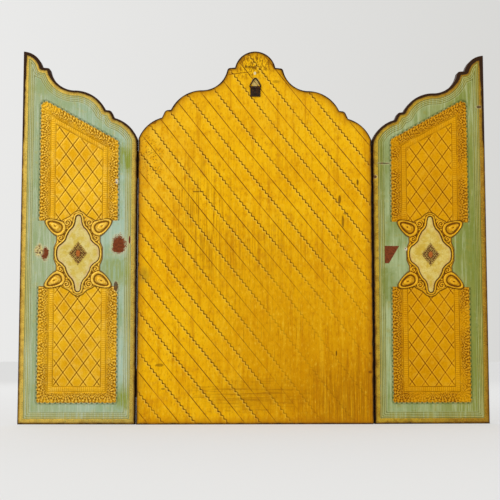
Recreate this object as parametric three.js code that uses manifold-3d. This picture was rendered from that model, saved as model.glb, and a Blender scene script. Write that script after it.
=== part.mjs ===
// A folding triptych altarpiece: three gessoed and gilded boards with a shaped crest, the two wings
// hung on brass butt hinges, and a ring hanger nailed to the back of the centre board.
//
// Millimetres, +Z up, -Y is the front. The origin is the middle of the centre board's underside.
// The part stands on the lower edges of its three boards, with the wings drawn a little forward of
// flat. "Right" is +X, as seen from the front, and the left side is the right side mirrored.
import * as THREE from "three";
import { mergeVertices } from "three/addons/utils/BufferGeometryUtils.js";
import Module from "manifold-3d";

const wasm = await Module();
wasm.setup();

// ---- Driving dimensions ------------------------------------------------------------------------

const PANEL_WIDTH = 222;
const PANEL_HEIGHT = 354.5;
const PANEL_THICKNESS = 12;
const WING_THICKNESS = 10;
const SEAM = 0.5; // between the centre board and an open wing
const WINGS_APART = 2; // between the two free edges when the wings are shut
const REST_DEGREES = 3; // how far each wing is drawn forward of flat
const EDGE_ROUND = 1.3; // rounding of every arris
const CHORD = 3.8; // longest straight step along a curve
const WELD = 1e-4; // points nearer than this are one

// The crest's stretches, from the shoulder up to the middle. Each ends at a distance out from the
// middle and a distance down from the peak, and bows outward by a share of its own length.
const CREST = [
  { out: PANEL_WIDTH / 2, down: 85.3, bow: 0 }, // top of the straight side
  { out: 89, down: 65, bow: 0.12 }, // lower shoulder
  { out: 87, down: 60.9, bow: 0 }, // riser
  { out: 84, down: 57.7, bow: 0.13 }, // nose of the lower ledge
  { out: 80.4, down: 57.3, bow: 0 }, // lower ledge
  { out: 50, down: 38.2, bow: 0.147 }, // upper shoulder
  { out: 26.9, down: 18.7, bow: -0.17 }, // hollow sweep
  { out: 24.6, down: 16.3, bow: 0.148 }, // nose of the upper ledge
  { out: 19.3, down: 15.8, bow: 0 }, // upper ledge
  { out: 0, down: 0, bow: 0.178 }, // cap
];

// Sunk fields on the front faces: a flat border, a step, then the bottom of the field.
const BORDER = 15;
const SIGHT_STEP = 3;
const SIGHT_DEPTH = 1;
const FIELD_DEPTH = 2.4;
const ARCH = [
  { out: PANEL_WIDTH / 2 - BORDER, down: 114.5, bow: 0 }, // springing
  { out: 42, down: 64.5, bow: 0.16 }, // haunch
  { out: 0, down: 34.5, bow: -0.08 }, // ogee point
];

// Incised work.
const STROKE_WIDTH = 0.9;
const STROKE_DEPTH = 0.4;
const STROKE_TAPER = 8; // a stroke would run out to nothing in this many times its length
const RIM_LINE = 5.4; // from a wing's edge to the line that bounds its gilt rim
const SCORE_DEGREES = 51.2; // slant of the scored lines on the centre board's back
const SCORE_SPACING = 30; // level distance between two scored lines
const SCORE_POINT = { x: 13.7, z: 266.3 }; // a point on one of them

// A wing's outer face: two latticed fields above and below a raised cartouche.
const FIELD_HALF_WIDTH = 23.5;
const LOWER_FIELD = { bottom: 31, topHinge: 138, topFree: 138 };
const UPPER_FIELD = { bottom: 184, topHinge: 265, topFree: 283 };
const LATTICE_WIDTH = 12.8; // a diamond's width
const LATTICE_HEIGHT = 17.2; // a diamond's height
const CARTOUCHE_Z = 159.8; // height of the cartouche's middle
const STAR = { halfWidth: 20.1, halfHeight: 36.2 };
const STAR_BAND = 2.2; // width of the raised moulding round the star
const BAND_RELIEF = 1;
const BOSS_RELIEF = 1.1;
const LEAF = { x: 22.2, z: 25.8, halfLength: 10.6, halfWidth: 6.4, tilt: 31 };
const SCROLLS = [
  { x: 10.6, z: 29, radius: 3.2 },
  { x: 16.4, z: 14.6, radius: 3 },
];
const LOZENGE = { halfWidth: 8.6, halfHeight: 11, relief: 0.8, top: 0.72 };

// Butt hinges, measured from the pin's axis.
const HINGE_BOTTOMS = { lower: 26, upper: 234 };
const HINGE_LENGTH = 24;
const PIN_PROUD = 1.45; // of the boards' front faces
const PIN_RADIUS = 0.72;
const PIN_HEAD_RADIUS = 1.25;
const PIN_HEAD = 0.7;
const PIN_HEAD_CLEAR = 0.15;
const BARREL_RADIUS = 1.6;
const BARREL_BORE = 0.86;
const LEAF_THICKNESS = 0.6;
const LEAF_OFF_AXIS = 0.2; // from the middle of the seam to a leaf's inner face
const LEAF_FROM = 2; // from the axis back to the leaf's front end
const LEAF_TO = 9.5; // from the axis back to the leaf's rear end
const KNUCKLE_GAP = 0.25;
const SEAT_CLEAR = 0.12; // between a leaf and the seat let into the board's edge for it

// Ring hanger on the back of the centre board.
const RING_AXIS_Z = 318.8;
const RING_WIRE = 0.6; // radius
const RING_HALF_BASE = 6.1;
const RING_HEIGHT = 10.1;
const RING_CORNER = 1.2;
const STRAP_WIDTH = 9.8;
const STRAP_DROP = 8.8; // from the ring's axis down to the strap's end
const STRAP_THICKNESS = 1;
const STRAP_EYE = { radius: 1.3, bore: 0.85, width: 9 };
const FITTED_GAP = 0.1; // between the strap and the wood, and the nail's head and the strap
const NAIL_HEAD_RADIUS = 1.7;
const NAIL_HEAD_HEIGHT = 0.9;
const NAIL_SHANK_RADIUS = 0.6;
const NAIL_HOLE_RADIUS = 0.85;
const NAIL_LENGTH = 6;

// ---- Places that follow from them --------------------------------------------------------------

const HALF_WIDTH = PANEL_WIDTH / 2;
const BACK_Y = PANEL_THICKNESS / 2;
const FRONT_Y = -PANEL_THICKNESS / 2;
const PIN_X = HALF_WIDTH + SEAM / 2;
const PIN_Y = FRONT_Y - PIN_PROUD;
const WING_WIDTH = HALF_WIDTH - WINGS_APART / 2;
const WING_BACK = PIN_PROUD + WING_THICKNESS;
const WING_MIDDLE = SEAM / 2 + WING_WIDTH / 2;
const RING_Y = BACK_Y + FITTED_GAP + STRAP_EYE.radius;
const STRAP_FACE_Y = BACK_Y + FITTED_GAP + STRAP_THICKNESS;
const NAIL_Z = RING_AXIS_Z - (STRAP_EYE.radius + STRAP_DROP) / 2;

// ---- Materials -----------------------------------------------------------------------------------

const material = (name, color, roughness, metalness) =>
  new THREE.MeshStandardMaterial({ name, color, roughness, metalness });
const GILT_BACK = material("ochre_gilding", 0xd79a12, 0.45, 0.25);
const GILT_WING = material("painted_gilding", 0xb9a84e, 0.5, 0.15);
const BRASS = material("aged_brass", 0x8f7434, 0.45, 0.9);
const IRON = material("dark_iron", 0x32241a, 0.5, 0.8);

// ---- Outlines ------------------------------------------------------------------------------------

const vec = (x, y) => new THREE.Vector2(x, y);
const mirrored = (points) => points.map((p) => vec(-p.x, p.y)).reverse();

// Points after a along the arc from a to b, the last of them b itself. A positive bow swells to the
// right of the way, which is outward on an outline that runs anticlockwise.
function bowed(a, b, bow, step) {
  if (bow === 0) return [b.clone()];
  const chord = b.clone().sub(a);
  const turn = 4 * Math.atan(2 * bow);
  const radius = chord.length() / (2 * Math.sin(turn / 2));
  const left = vec(-chord.y, chord.x).normalize();
  const middle = a.clone().lerp(b, 0.5);
  const centre = middle.addScaledVector(left, radius * Math.cos(turn / 2));
  const count = Math.max(2, Math.ceil(Math.abs(radius * turn) / step));
  return Array.from({ length: count }, (_, i) =>
    a.clone().rotateAround(centre, (turn * (i + 1)) / count),
  );
}

// The points of a run of stretches, each given by its end and its bow.
function run(stretches, step) {
  const points = [stretches[0].end];
  for (const { end, bow } of stretches.slice(1)) {
    points.push(...bowed(points.at(-1), end, bow, step));
  }
  return points;
}

// One side of the crest or of the arch, from its outer end in, cut off at x = innermost.
function sideOf(profile, innermost) {
  const stretches = profile.map(({ out, down, bow }) => ({ end: vec(out, PANEL_HEIGHT - down), bow }));
  const points = run(stretches, CHORD);
  const kept = points.filter((p) => p.x > innermost + WELD);
  const [last, next] = [kept.at(-1), points[kept.length]];
  return [...kept, last.clone().lerp(next, (last.x - innermost) / (last.x - next.x))];
}

// How far a point lies from the nearest side of a closed outline.
function distanceTo(outline, p) {
  const at = new THREE.Vector3(p.x, p.y, 0);
  const nearest = new THREE.Vector3();
  const distances = outline.map((from, i) => {
    const to = outline[(i + 1) % outline.length];
    const side = new THREE.Line3(
      new THREE.Vector3(from.x, from.y, 0),
      new THREE.Vector3(to.x, to.y, 0),
    );
    return side.closestPointToPoint(at, true, nearest).distanceTo(at);
  });
  return Math.min(...distances);
}

// A closed anticlockwise outline with its corners moved in by inset along their mitres. Corners that
// would land too near another side are left out.
function insetOutline(points, inset) {
  const tolerance = 0.02 * Math.abs(inset);
  const moved = points.map((p, i) => {
    const arriving = p.clone().sub(points.at(i - 1)).normalize();
    const leaving = points[(i + 1) % points.length].clone().sub(p).normalize();
    const mitre = vec(-arriving.y - leaving.y, arriving.x + leaving.x);
    return p.clone().addScaledVector(mitre, (2 * inset) / mitre.lengthSq());
  });
  return moved.filter((p) => distanceTo(points, p) > inset - tolerance);
}

// ---- Solids --------------------------------------------------------------------------------------

function solidOf(geometry) {
  const bare = geometry.index ? geometry.toNonIndexed() : geometry.clone();
  bare.deleteAttribute("normal");
  bare.deleteAttribute("uv");
  const merged = mergeVertices(bare, WELD);
  const vertProperties = merged.attributes.position.array;
  const triVerts = new Uint32Array(merged.index.array);
  return new wasm.Manifold(new wasm.Mesh({ numProp: 3, vertProperties, triVerts }));
}

function geometryOf(solid) {
  const made = solid.getMesh();
  const geometry = new THREE.BufferGeometry();
  geometry.setAttribute("position", new THREE.BufferAttribute(made.vertProperties, 3));
  geometry.setIndex(new THREE.BufferAttribute(made.triVerts, 1));
  geometry.computeVertexNormals();
  return geometry;
}

const union = (solids) => solids.reduce((all, next) => all.add(next));
const disc = (radius, height, sides) => new THREE.CylinderGeometry(radius, radius, height, sides);

// A plate of the given outline, drawn in X and Z, from y = back forward by thickness.
function plate(outline, back, thickness, round = 0, hole = null) {
  const shape = new THREE.Shape(outline);
  if (hole) shape.holes.push(new THREE.Path(hole));
  const geometry = new THREE.ExtrudeGeometry(shape, {
    depth: thickness - 2 * round,
    bevelEnabled: round > 0,
    bevelThickness: round,
    bevelSize: round,
    bevelOffset: -round,
    bevelSegments: 2,
  });
  return solidOf(geometry.translate(0, 0, round).rotateX(Math.PI / 2).translate(0, back, 0));
}

// A long spike of diamond section that cuts a V stroke into the face at the given y. It starts half a
// length before the point (x, z) and runs on past it, growing slowly shallower.
function stroke(x, z, degrees, length, y) {
  const spike = STROKE_TAPER * length;
  return solidOf(
    new THREE.CylinderGeometry(0, 1, spike, 4)
      .translate(0, (spike - length) / 2, 0)
      .scale(STROKE_WIDTH / 2, 1, STROKE_DEPTH)
      .rotateZ(THREE.MathUtils.degToRad(degrees - 90))
      .rotateX(Math.PI / 2)
      .translate(x, y, z),
  );
}

// A board with a stepped field sunk in the front face at the given y.
function sunk(board, sight, frontY) {
  const step = plate(sight, frontY + SIGHT_DEPTH, 2 * SIGHT_DEPTH);
  const field = plate(insetOutline(sight, SIGHT_STEP), frontY + FIELD_DEPTH, 2 * FIELD_DEPTH);
  return board.subtract(step).subtract(field);
}

// The seats for two hinge leaves in a board's edge, beside the hinge axis at (x, y). Side is 1 if the
// board lies on the axis's +X side and -1 if it lies on the other.
function leafSeats(side, x, y) {
  const deep = LEAF_OFF_AXIS + LEAF_THICKNESS + SEAT_CLEAR;
  const back = LEAF_TO + SEAT_CLEAR;
  const seats = Object.values(HINGE_BOTTOMS).map((bottom) => {
    const seat = new THREE.BoxGeometry(deep, back, HINGE_LENGTH + 2 * SEAT_CLEAR);
    seat.translate(x + (side * deep) / 2, y + back / 2, bottom + HINGE_LENGTH / 2);
    return solidOf(seat);
  });
  return union(seats);
}

// ---- Centre board --------------------------------------------------------------------------------

function centreBoard() {
  const crest = sideOf(CREST, 0);
  const outline = [
    vec(-HALF_WIDTH, 0),
    vec(HALF_WIDTH, 0),
    ...crest,
    ...mirrored(crest.slice(0, -1)),
  ];
  const arch = sideOf(ARCH, 0);
  const sight = [
    vec(BORDER - HALF_WIDTH, BORDER),
    vec(HALF_WIDTH - BORDER, BORDER),
    ...arch,
    ...mirrored(arch.slice(0, -1)),
  ];
  const board = sunk(plate(outline, BACK_Y, PANEL_THICKNESS, EDGE_ROUND), sight, FRONT_Y);
  const nailHole = disc(NAIL_HOLE_RADIUS, 2 * NAIL_LENGTH, 8).translate(0, BACK_Y, NAIL_Z);
  return board
    .subtract(scoredLines())
    .subtract(solidOf(nailHole))
    .subtract(leafSeats(-1, PIN_X, PIN_Y))
    .subtract(leafSeats(1, -PIN_X, PIN_Y));
}

// The parallel lines scored across the centre board's back.
function scoredLines() {
  const reach = Math.ceil(PANEL_HEIGHT / SCORE_SPACING);
  const lines = [];
  for (let i = -reach; i <= reach; i += 1) {
    const x = SCORE_POINT.x + i * SCORE_SPACING;
    lines.push(stroke(x, SCORE_POINT.z, SCORE_DEGREES, 3 * PANEL_HEIGHT, BACK_Y));
  }
  return union(lines);
}

// ---- Wings ---------------------------------------------------------------------------------------

// A wing is made in the frame of its hinge axis: x runs out to the free edge, y back from the axis.
// When it is shut it lies mirrored over the centre board, so its outline is that board's, mirrored.
const fromHinge = (points) => mirrored(points).map((p) => p.add(vec(PIN_X, 0)));

// The right wing, with its outer face at the back.
function wingBoard() {
  const free = WINGS_APART / 2;
  const outline = fromHinge([vec(free, 0), vec(HALF_WIDTH, 0), ...sideOf(CREST, free)]);
  const sight = fromHinge([
    vec(free + BORDER, BORDER),
    vec(HALF_WIDTH - BORDER, BORDER),
    ...sideOf(ARCH, free + BORDER),
  ]);
  const board = sunk(plate(outline, WING_BACK, WING_THICKNESS, EDGE_ROUND), sight, PIN_PROUD);
  return board
    .subtract(leafSeats(1, 0, 0))
    .subtract(rimLine(outline))
    .subtract(lattice(LOWER_FIELD))
    .subtract(lattice(UPPER_FIELD))
    .add(cartouche());
}

// The shallow line that bounds the gilt rim of the outer face.
function rimLine(outline) {
  const outer = insetOutline(outline, RIM_LINE);
  const inner = insetOutline(outline, RIM_LINE + STROKE_WIDTH);
  return plate(outer, WING_BACK + 1, 1 + STROKE_DEPTH, 0, inner);
}

// Two crossing families of strokes kept within one field.
function lattice({ bottom, topHinge, topFree }) {
  const [hinge, free] = [WING_MIDDLE - FIELD_HALF_WIDTH, WING_MIDDLE + FIELD_HALF_WIDTH];
  const field = [vec(hinge, bottom), vec(free, bottom), vec(free, topFree), vec(hinge, topHinge)];
  const slant = THREE.MathUtils.radToDeg(Math.atan2(LATTICE_HEIGHT, LATTICE_WIDTH));
  const reach = Math.ceil(PANEL_HEIGHT / LATTICE_HEIGHT / 2) + 2;
  const strokes = [];
  for (const degrees of [slant, 180 - slant]) {
    for (let i = -reach; i <= reach; i += 1) {
      const z = CARTOUCHE_Z + (i + 0.5) * LATTICE_HEIGHT;
      strokes.push(stroke(WING_MIDDLE, z, degrees, 4 * FIELD_HALF_WIDTH, WING_BACK));
    }
  }
  return union(strokes).intersect(plate(field, WING_BACK + 1, 2));
}

// The cartouche's star about (0, 0): a long spike above and below, and a round lobe at each side.
// Each stretch of the quarter ends at a share of the star's half-width and half-height.
function starOutline() {
  const quarter = [
    { across: 1, up: 0, bow: 0 },
    { across: 1, up: 0.12, bow: 0 },
    { across: 0.87, up: 0.19, bow: 0.2 },
    { across: 0.52, up: 0.4, bow: -0.14 },
    { across: 0.47, up: 0.56, bow: 0.05 },
    { across: 0.26, up: 0.68, bow: -0.1 },
    { across: 0.14, up: 0.95, bow: -0.08 },
    { across: 0, up: 1, bow: 0.12 },
  ];
  const stretches = quarter.map(({ across, up, bow }) => ({
    end: vec(across * STAR.halfWidth, up * STAR.halfHeight),
    bow,
  }));
  const upper = run(stretches, CHORD);
  const right = [...upper.slice(1).map((p) => vec(p.x, -p.y)).reverse(), ...upper];
  return [...right, ...mirrored(right.slice(1, -1))];
}

// Radius and height of a turned boss, as shares of its half-width and its relief. A leaf has a rim, a
// hollow and a bead in the middle, and a scroll has a rim round a dimple.
const LEAF_PROFILE = [[0, -1], [1, -1], [0.88, 1], [0.6, 0.35], [0.36, 0.95], [0, 1.1]];
const SCROLL_PROFILE = [[0, -1], [1, -1], [0.8, 1], [0, 0.35]];

// An oval boss, its middle at (x, z) from the cartouche's.
function boss(profile, x, z, halfLength, halfWidth, tilt, sides) {
  const points = profile.map(([radius, height]) => vec(radius, height));
  return solidOf(
    new THREE.LatheGeometry(points, sides)
      .scale(halfLength, BOSS_RELIEF, halfWidth)
      .rotateY(-THREE.MathUtils.degToRad(tilt))
      .translate(WING_MIDDLE + x, WING_BACK, CARTOUCHE_Z + z),
  );
}

// The raised moulding round the star, the lozenge in it, and the leaves and scrolls about it.
function cartouche() {
  const star = starOutline().map((p) => p.add(vec(WING_MIDDLE, CARTOUCHE_Z)));
  const around = insetOutline(star, -STAR_BAND);
  const band = plate(around, WING_BACK + BAND_RELIEF, 2 * BAND_RELIEF, 0, star);
  const lozenge = new THREE.CylinderGeometry(LOZENGE.top, 1, 2, 4)
    .scale(LOZENGE.halfWidth, LOZENGE.relief, LOZENGE.halfHeight)
    .translate(WING_MIDDLE, WING_BACK, CARTOUCHE_Z);
  const pieces = [band, solidOf(lozenge)];
  for (const side of [-1, 1]) {
    for (const level of [-1, 1]) {
      const { x, z, halfLength, halfWidth, tilt } = LEAF;
      const turned = side * level * tilt;
      pieces.push(boss(LEAF_PROFILE, side * x, level * z, halfLength, halfWidth, turned, 10));
      for (const { x: out, z: up, radius } of SCROLLS) {
        pieces.push(boss(SCROLL_PROFILE, side * out, level * up, radius, radius, 0, 7));
      }
    }
  }
  return union(pieces);
}

// ---- Hinges --------------------------------------------------------------------------------------

const KNUCKLE = HINGE_LENGTH / 3;
const MIDDLE_KNUCKLE = [[KNUCKLE + KNUCKLE_GAP / 2, 2 * KNUCKLE - KNUCKLE_GAP / 2]];
const END_KNUCKLES = [
  [0, KNUCKLE - KNUCKLE_GAP / 2],
  [2 * KNUCKLE + KNUCKLE_GAP / 2, HINGE_LENGTH],
];

// An upright bar of eight sides on the hinge's axis, from one height to another.
const axisBar = (radius, from, to) =>
  solidOf(disc(radius, to - from, 8).rotateX(Math.PI / 2).translate(0, 0, (from + to) / 2));

// One hinge leaf with its knuckles. Side is 1 for the wing's leaf and -1 for the centre board's.
function hingeLeaf(side, knuckles) {
  const x = side * (LEAF_OFF_AXIS + LEAF_THICKNESS / 2);
  const tab = (from, to, low, high) => {
    const box = new THREE.BoxGeometry(LEAF_THICKNESS, to - from, high - low);
    return solidOf(box.translate(x, (from + to) / 2, (low + high) / 2));
  };
  const pieces = [tab(LEAF_FROM, LEAF_TO, 0, HINGE_LENGTH)];
  for (const [low, high] of knuckles) {
    pieces.push(axisBar(BARREL_RADIUS, low, high), tab(0, (LEAF_FROM + LEAF_TO) / 2, low, high));
  }
  return union(pieces).subtract(axisBar(BARREL_BORE, -1, HINGE_LENGTH + 1));
}

// The pin, with a low head at each end that keeps it in the barrel.
function hingePin() {
  const [low, high] = [-PIN_HEAD_CLEAR, HINGE_LENGTH + PIN_HEAD_CLEAR];
  return union([
    axisBar(PIN_RADIUS, low - PIN_HEAD / 2, high + PIN_HEAD / 2),
    axisBar(PIN_HEAD_RADIUS, low - PIN_HEAD, low),
    axisBar(PIN_HEAD_RADIUS, high, high + PIN_HEAD),
  ]);
}

// ---- Ring hanger ---------------------------------------------------------------------------------

// A folded strap with an eye along its upper end, pierced for the nail.
function strap() {
  const levelBar = (radius, width) =>
    solidOf(disc(radius, width, 16).rotateZ(Math.PI / 2).translate(0, RING_Y, RING_AXIS_Z));
  const blade = new THREE.BoxGeometry(STRAP_WIDTH, STRAP_THICKNESS, STRAP_DROP);
  blade.translate(0, STRAP_FACE_Y - STRAP_THICKNESS / 2, RING_AXIS_Z - STRAP_DROP / 2);
  const nailHole = disc(NAIL_HOLE_RADIUS, 4 * STRAP_THICKNESS, 8).translate(0, BACK_Y, NAIL_Z);
  return levelBar(STRAP_EYE.radius, STRAP_EYE.width)
    .add(solidOf(blade))
    .subtract(levelBar(STRAP_EYE.bore, STRAP_WIDTH + 1))
    .subtract(solidOf(nailHole));
}

// A bowed triangle of eight-sided wire whose base turns in the strap's eye.
function ring() {
  const line = run(
    [
      { end: vec(RING_HALF_BASE - RING_CORNER, 0), bow: 0 },
      { end: vec(RING_HALF_BASE, RING_CORNER), bow: 0.15 },
      { end: vec(0, RING_HEIGHT), bow: 0.05 },
    ],
    CHORD,
  );
  const around = [...line, ...mirrored(line.slice(0, -1))];
  const shape = new THREE.Shape(insetOutline(around, -RING_WIRE));
  shape.holes.push(new THREE.Path(insetOutline(around, RING_WIRE)));
  const flat = 2 * RING_WIRE * Math.tan(Math.PI / 8);
  const chamfer = RING_WIRE - flat / 2;
  const wire = new THREE.ExtrudeGeometry(shape, {
    depth: flat,
    bevelThickness: chamfer,
    bevelSize: chamfer,
    bevelOffset: -chamfer,
    bevelSegments: 1,
  });
  wire.translate(0, 0, -flat / 2).rotateX(Math.PI / 2);
  return solidOf(wire.translate(0, RING_Y, RING_AXIS_Z));
}

// The nail through the strap: a low domed head on a straight shank.
function nail() {
  const seat = STRAP_FACE_Y + FITTED_GAP;
  const dome = new THREE.LatheGeometry(
    [vec(0, 0), vec(1, 0), vec(0.87, 0.5), vec(0.5, 0.87), vec(0, 1)],
    12,
  );
  dome.scale(NAIL_HEAD_RADIUS, NAIL_HEAD_HEIGHT, NAIL_HEAD_RADIUS).translate(0, seat, NAIL_Z);
  const shank = disc(NAIL_SHANK_RADIUS, NAIL_LENGTH, 8);
  const inHead = NAIL_HEAD_HEIGHT / 3;
  return solidOf(dome).add(solidOf(shank.translate(0, seat + inHead - NAIL_LENGTH / 2, NAIL_Z)));
}

// ---- Assembly ------------------------------------------------------------------------------------

const mesh = (name, solid, finish) => {
  const made = new THREE.Mesh(geometryOf(solid), finish);
  made.name = name;
  return made;
};

const triptych = new THREE.Group();
triptych.add(
  mesh("centre_board", centreBoard(), GILT_BACK),
  mesh("hanger_strap", strap(), IRON),
  mesh("hanger_ring", ring(), IRON),
  mesh("hanger_nail", nail(), IRON),
);

for (const side of ["right", "left"]) {
  const half = new THREE.Group();
  half.scale.x = side === "right" ? 1 : -1;
  const fixed = new THREE.Group();
  const swinging = new THREE.Group();
  for (const group of [fixed, swinging]) group.position.set(PIN_X, PIN_Y, 0);
  swinging.rotation.z = -THREE.MathUtils.degToRad(REST_DEGREES);
  swinging.add(mesh(`${side}_wing`, wingBoard(), GILT_WING));
  for (const [level, bottom] of Object.entries(HINGE_BOTTOMS)) {
    const name = `${side}_${level}_hinge`;
    const centreLeaf = mesh(`${name}_centre_leaf`, hingeLeaf(-1, MIDDLE_KNUCKLE), BRASS);
    const wingLeaf = mesh(`${name}_wing_leaf`, hingeLeaf(1, END_KNUCKLES), BRASS);
    const pin = mesh(`${name}_pin`, hingePin(), BRASS);
    for (const piece of [centreLeaf, wingLeaf, pin]) piece.position.z = bottom;
    fixed.add(centreLeaf);
    swinging.add(wingLeaf, pin);
  }
  half.add(fixed, swinging);
  triptych.add(half);
}

export default triptych;
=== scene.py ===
"""A folding triptych altarpiece of gilt and painted wood, seen from behind with its wings open.

The boards are remade round the CAD part with their tooled and carved faces, and the hanger with its
wire and strap. Faces are drawn in millimetres, on a plan whose first axis runs across the board and
whose second runs up it, and are put in place in metres.
"""
import math

import bpy
import numpy as np
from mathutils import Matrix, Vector
from mathutils.geometry import delaunay_2d_cdt


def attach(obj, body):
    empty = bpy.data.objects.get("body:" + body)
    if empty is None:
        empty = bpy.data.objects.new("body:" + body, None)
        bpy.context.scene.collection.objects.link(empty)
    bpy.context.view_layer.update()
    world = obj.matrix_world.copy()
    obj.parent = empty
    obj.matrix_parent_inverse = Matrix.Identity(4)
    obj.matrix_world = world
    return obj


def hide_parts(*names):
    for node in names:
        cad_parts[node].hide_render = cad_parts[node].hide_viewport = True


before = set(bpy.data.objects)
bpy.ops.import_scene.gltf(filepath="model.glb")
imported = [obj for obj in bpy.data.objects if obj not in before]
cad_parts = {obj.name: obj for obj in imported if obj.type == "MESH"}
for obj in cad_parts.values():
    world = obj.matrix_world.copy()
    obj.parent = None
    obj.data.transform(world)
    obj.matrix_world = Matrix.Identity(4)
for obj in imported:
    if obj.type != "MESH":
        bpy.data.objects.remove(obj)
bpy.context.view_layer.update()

# ---- Sizes, in millimetres ---------------------------------------------------------------------

PANEL_WIDTH = 222
PANEL_HEIGHT = 354.5
PANEL_THICKNESS = 12
WING_THICKNESS = 10
SEAM = 0.5
WINGS_APART = 2
REST_DEGREES = 3
ARRIS = 1.3
CURVE_STEP = 0.9
PIN_PROUD = 1.45
HINGES = ((26, 50), (234, 258))
SEAT_DEPTH = 0.67
SEAT_REACH = 8.17
SEAT_CLEAR = 0.12

# The crest from the shoulder up to the middle: out from the middle, down from the peak, and bow.
CREST = (
    (PANEL_WIDTH / 2, 85.3, 0),
    (89, 65, 0.12),
    (87, 60.9, 0),
    (84, 57.7, 0.13),
    (80.4, 57.3, 0),
    (50, 38.2, 0.147),
    (26.9, 18.7, -0.17),
    (24.6, 16.3, 0.148),
    (19.3, 15.8, 0),
    (0, 0, 0.178),
)

# Sunk fields on the front faces.
BORDER = 15
SIGHT_STEP = 3
SIGHT_DEPTH = 1
FIELD_DEPTH = 2.4
STEP_SLOPE = 0.3
ARCH = ((PANEL_WIDTH / 2 - BORDER, 114.5, 0), (42, 64.5, 0.16), (0, 34.5, -0.08))

# Lines scored across the centre board's back, and the wriggled lines between them.
STROKE_WIDTH = 0.9
STROKE_DEPTH = 0.4
SCORE_DEGREES = 51.2
SCORE_SPACING = 30
SCORE_POINT = (13.7, 266.3)
WRIGGLE_LENGTH = 4.4
WRIGGLE_SWING = 0.8
WRIGGLE_DEPTH = 0.3

# A wing's outer face. Places across it are measured from its middle line towards the free edge.
RIM_LINE = 5.85
RULED_LINES = (7.4, 9, 10.8)
RULED_WIDTH = 0.6
RULED_DEPTH = 0.22
FIELD_REACH = 37.4
LOWER_BOTTOM = 19.8
LOWER_TOP = 129
UPPER_BOTTOM = 190.8
UPPER_TOPS = {"right": 288, "left": 291.4}
UPPER_RISE = 0.56
UPPER_CORNER = 8
LOWER_CORNER = 2
LACE_WIDTH = 9.8
LACE_PITCH = 9.8
LACE_DEPTH = 0.32
SCALLOP = 0.9
BEAD_PITCH = 1.95
BEAD_LINES = (10.3, 14.9)
LATTICE_INSET = 15.6
LATTICE_WIDTH = 12.8
LATTICE_HEIGHT = 17.2
CARTOUCHE_Z = 159.8
STAR_HALF_WIDTH = 20.1
STAR_HALF_HEIGHT = 36.2
STAR_BAND = 2.2
STAR_QUARTER = (
    (1, 0, 0),
    (0.985, 0.1, 0.05),
    (0.87, 0.215, 0.1),
    (0.66, 0.31, -0.03),
    (0.56, 0.41, -0.08),
    (0.48, 0.52, 0.04),
    (0.34, 0.635, 0.05),
    (0.2, 0.74, -0.07),
    (0.15, 0.84, -0.03),
    (0.12, 0.94, 0.03),
    (0, 1, 0.2),
)
BAND_RELIEF = 1
LEAF = {"x": 22.2, "z": 25.8, "half_length": 10.8, "half_width": 6.6, "tilt": 31}
SCROLLS = ((10.6, 29, 3.6, 1), (16.6, 14.6, 3.3, -1))
LOZENGE_HALF_WIDTH = 8.8
LOZENGE_HALF_HEIGHT = 11.2
HEART = (2.0, 2.9)

# The ring hanger.
RING_AXIS_Z = 318.8
RING_WIRE = 0.62
RING_HALF_BASE = 6.1
RING_HEIGHT = 10.1
RING_CORNER = 1.2
RING_BOW = 0.03
STRAP_WIDTH = 9.8
STRAP_DROP = 8.8
STRAP_THICKNESS = 1
STRAP_EYE_RADIUS = 1.3
STRAP_EYE_WIDTH = 9
FITTED_GAP = 0.1
NAIL_HEAD_RADIUS = 1.7
NAIL_HEAD_HEIGHT = 0.9
NAIL_SHANK_RADIUS = 0.6
NAIL_LENGTH = 6

HALF_WIDTH = PANEL_WIDTH / 2
BACK_Y = PANEL_THICKNESS / 2
PIN_X = HALF_WIDTH + SEAM / 2
PIN_Y = -BACK_Y - PIN_PROUD
WING_WIDTH = HALF_WIDTH - WINGS_APART / 2
WING_BACK = PIN_PROUD + WING_THICKNESS
WING_MIDDLE = SEAM / 2 + WING_WIDTH / 2
SCORE_TURN = math.radians(SCORE_DEGREES)
SCORE_PITCH = SCORE_SPACING * math.sin(SCORE_TURN)
UPPER_SLANT = math.atan(UPPER_RISE)
BEAD_ROW = (BEAD_LINES[0] + 0.6, BEAD_LINES[1] - 0.6)
RING_Y = BACK_Y + FITTED_GAP + STRAP_EYE_RADIUS
NAIL_Z = RING_AXIS_Z - (STRAP_EYE_RADIUS + STRAP_DROP) / 2

# ---- Outlines ----------------------------------------------------------------------------------


def bowed(start, end, bow, step):
    """Points after start along the arc to end. A positive bow swells to the right of the way."""
    if bow == 0:
        count = max(1, round(abs(end - start) / step))
        return [start + (end - start) * (i + 1) / count for i in range(count)]
    turn = 4 * math.atan(2 * bow)
    radius = abs(end - start) / (2 * math.sin(turn / 2))
    left = 1j * (end - start) / abs(end - start)
    centre = (start + end) / 2 + left * radius * math.cos(turn / 2)
    count = max(2, math.ceil(abs(radius * turn) / step))
    turned = [complex(math.cos(turn * (i + 1) / count), math.sin(turn * (i + 1) / count)) for i in range(count)]
    return [centre + (start - centre) * t for t in turned]


def run(stretches, step):
    """Points of a run of (end, bow) stretches."""
    points = [stretches[0][0]]
    for end, bow in stretches[1:]:
        points += bowed(points[-1], end, bow, step)
    return points


def side_of(profile, innermost):
    """One side of the crest or the arch from its outer end in, cut off at innermost."""
    points = run([(complex(out, PANEL_HEIGHT - down), bow) for out, down, bow in profile], CURVE_STEP)
    kept = [p for p in points if p.real > innermost + 1e-4]
    last, following = kept[-1], points[len(kept)]
    share = (last.real - innermost) / (last.real - following.real)
    return kept + [last + (following - last) * share]


def mirrored(points):
    return [complex(-p.real, p.imag) for p in reversed(points)]


def as_array(points):
    return np.array([(p.real, p.imag) for p in points])


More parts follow.
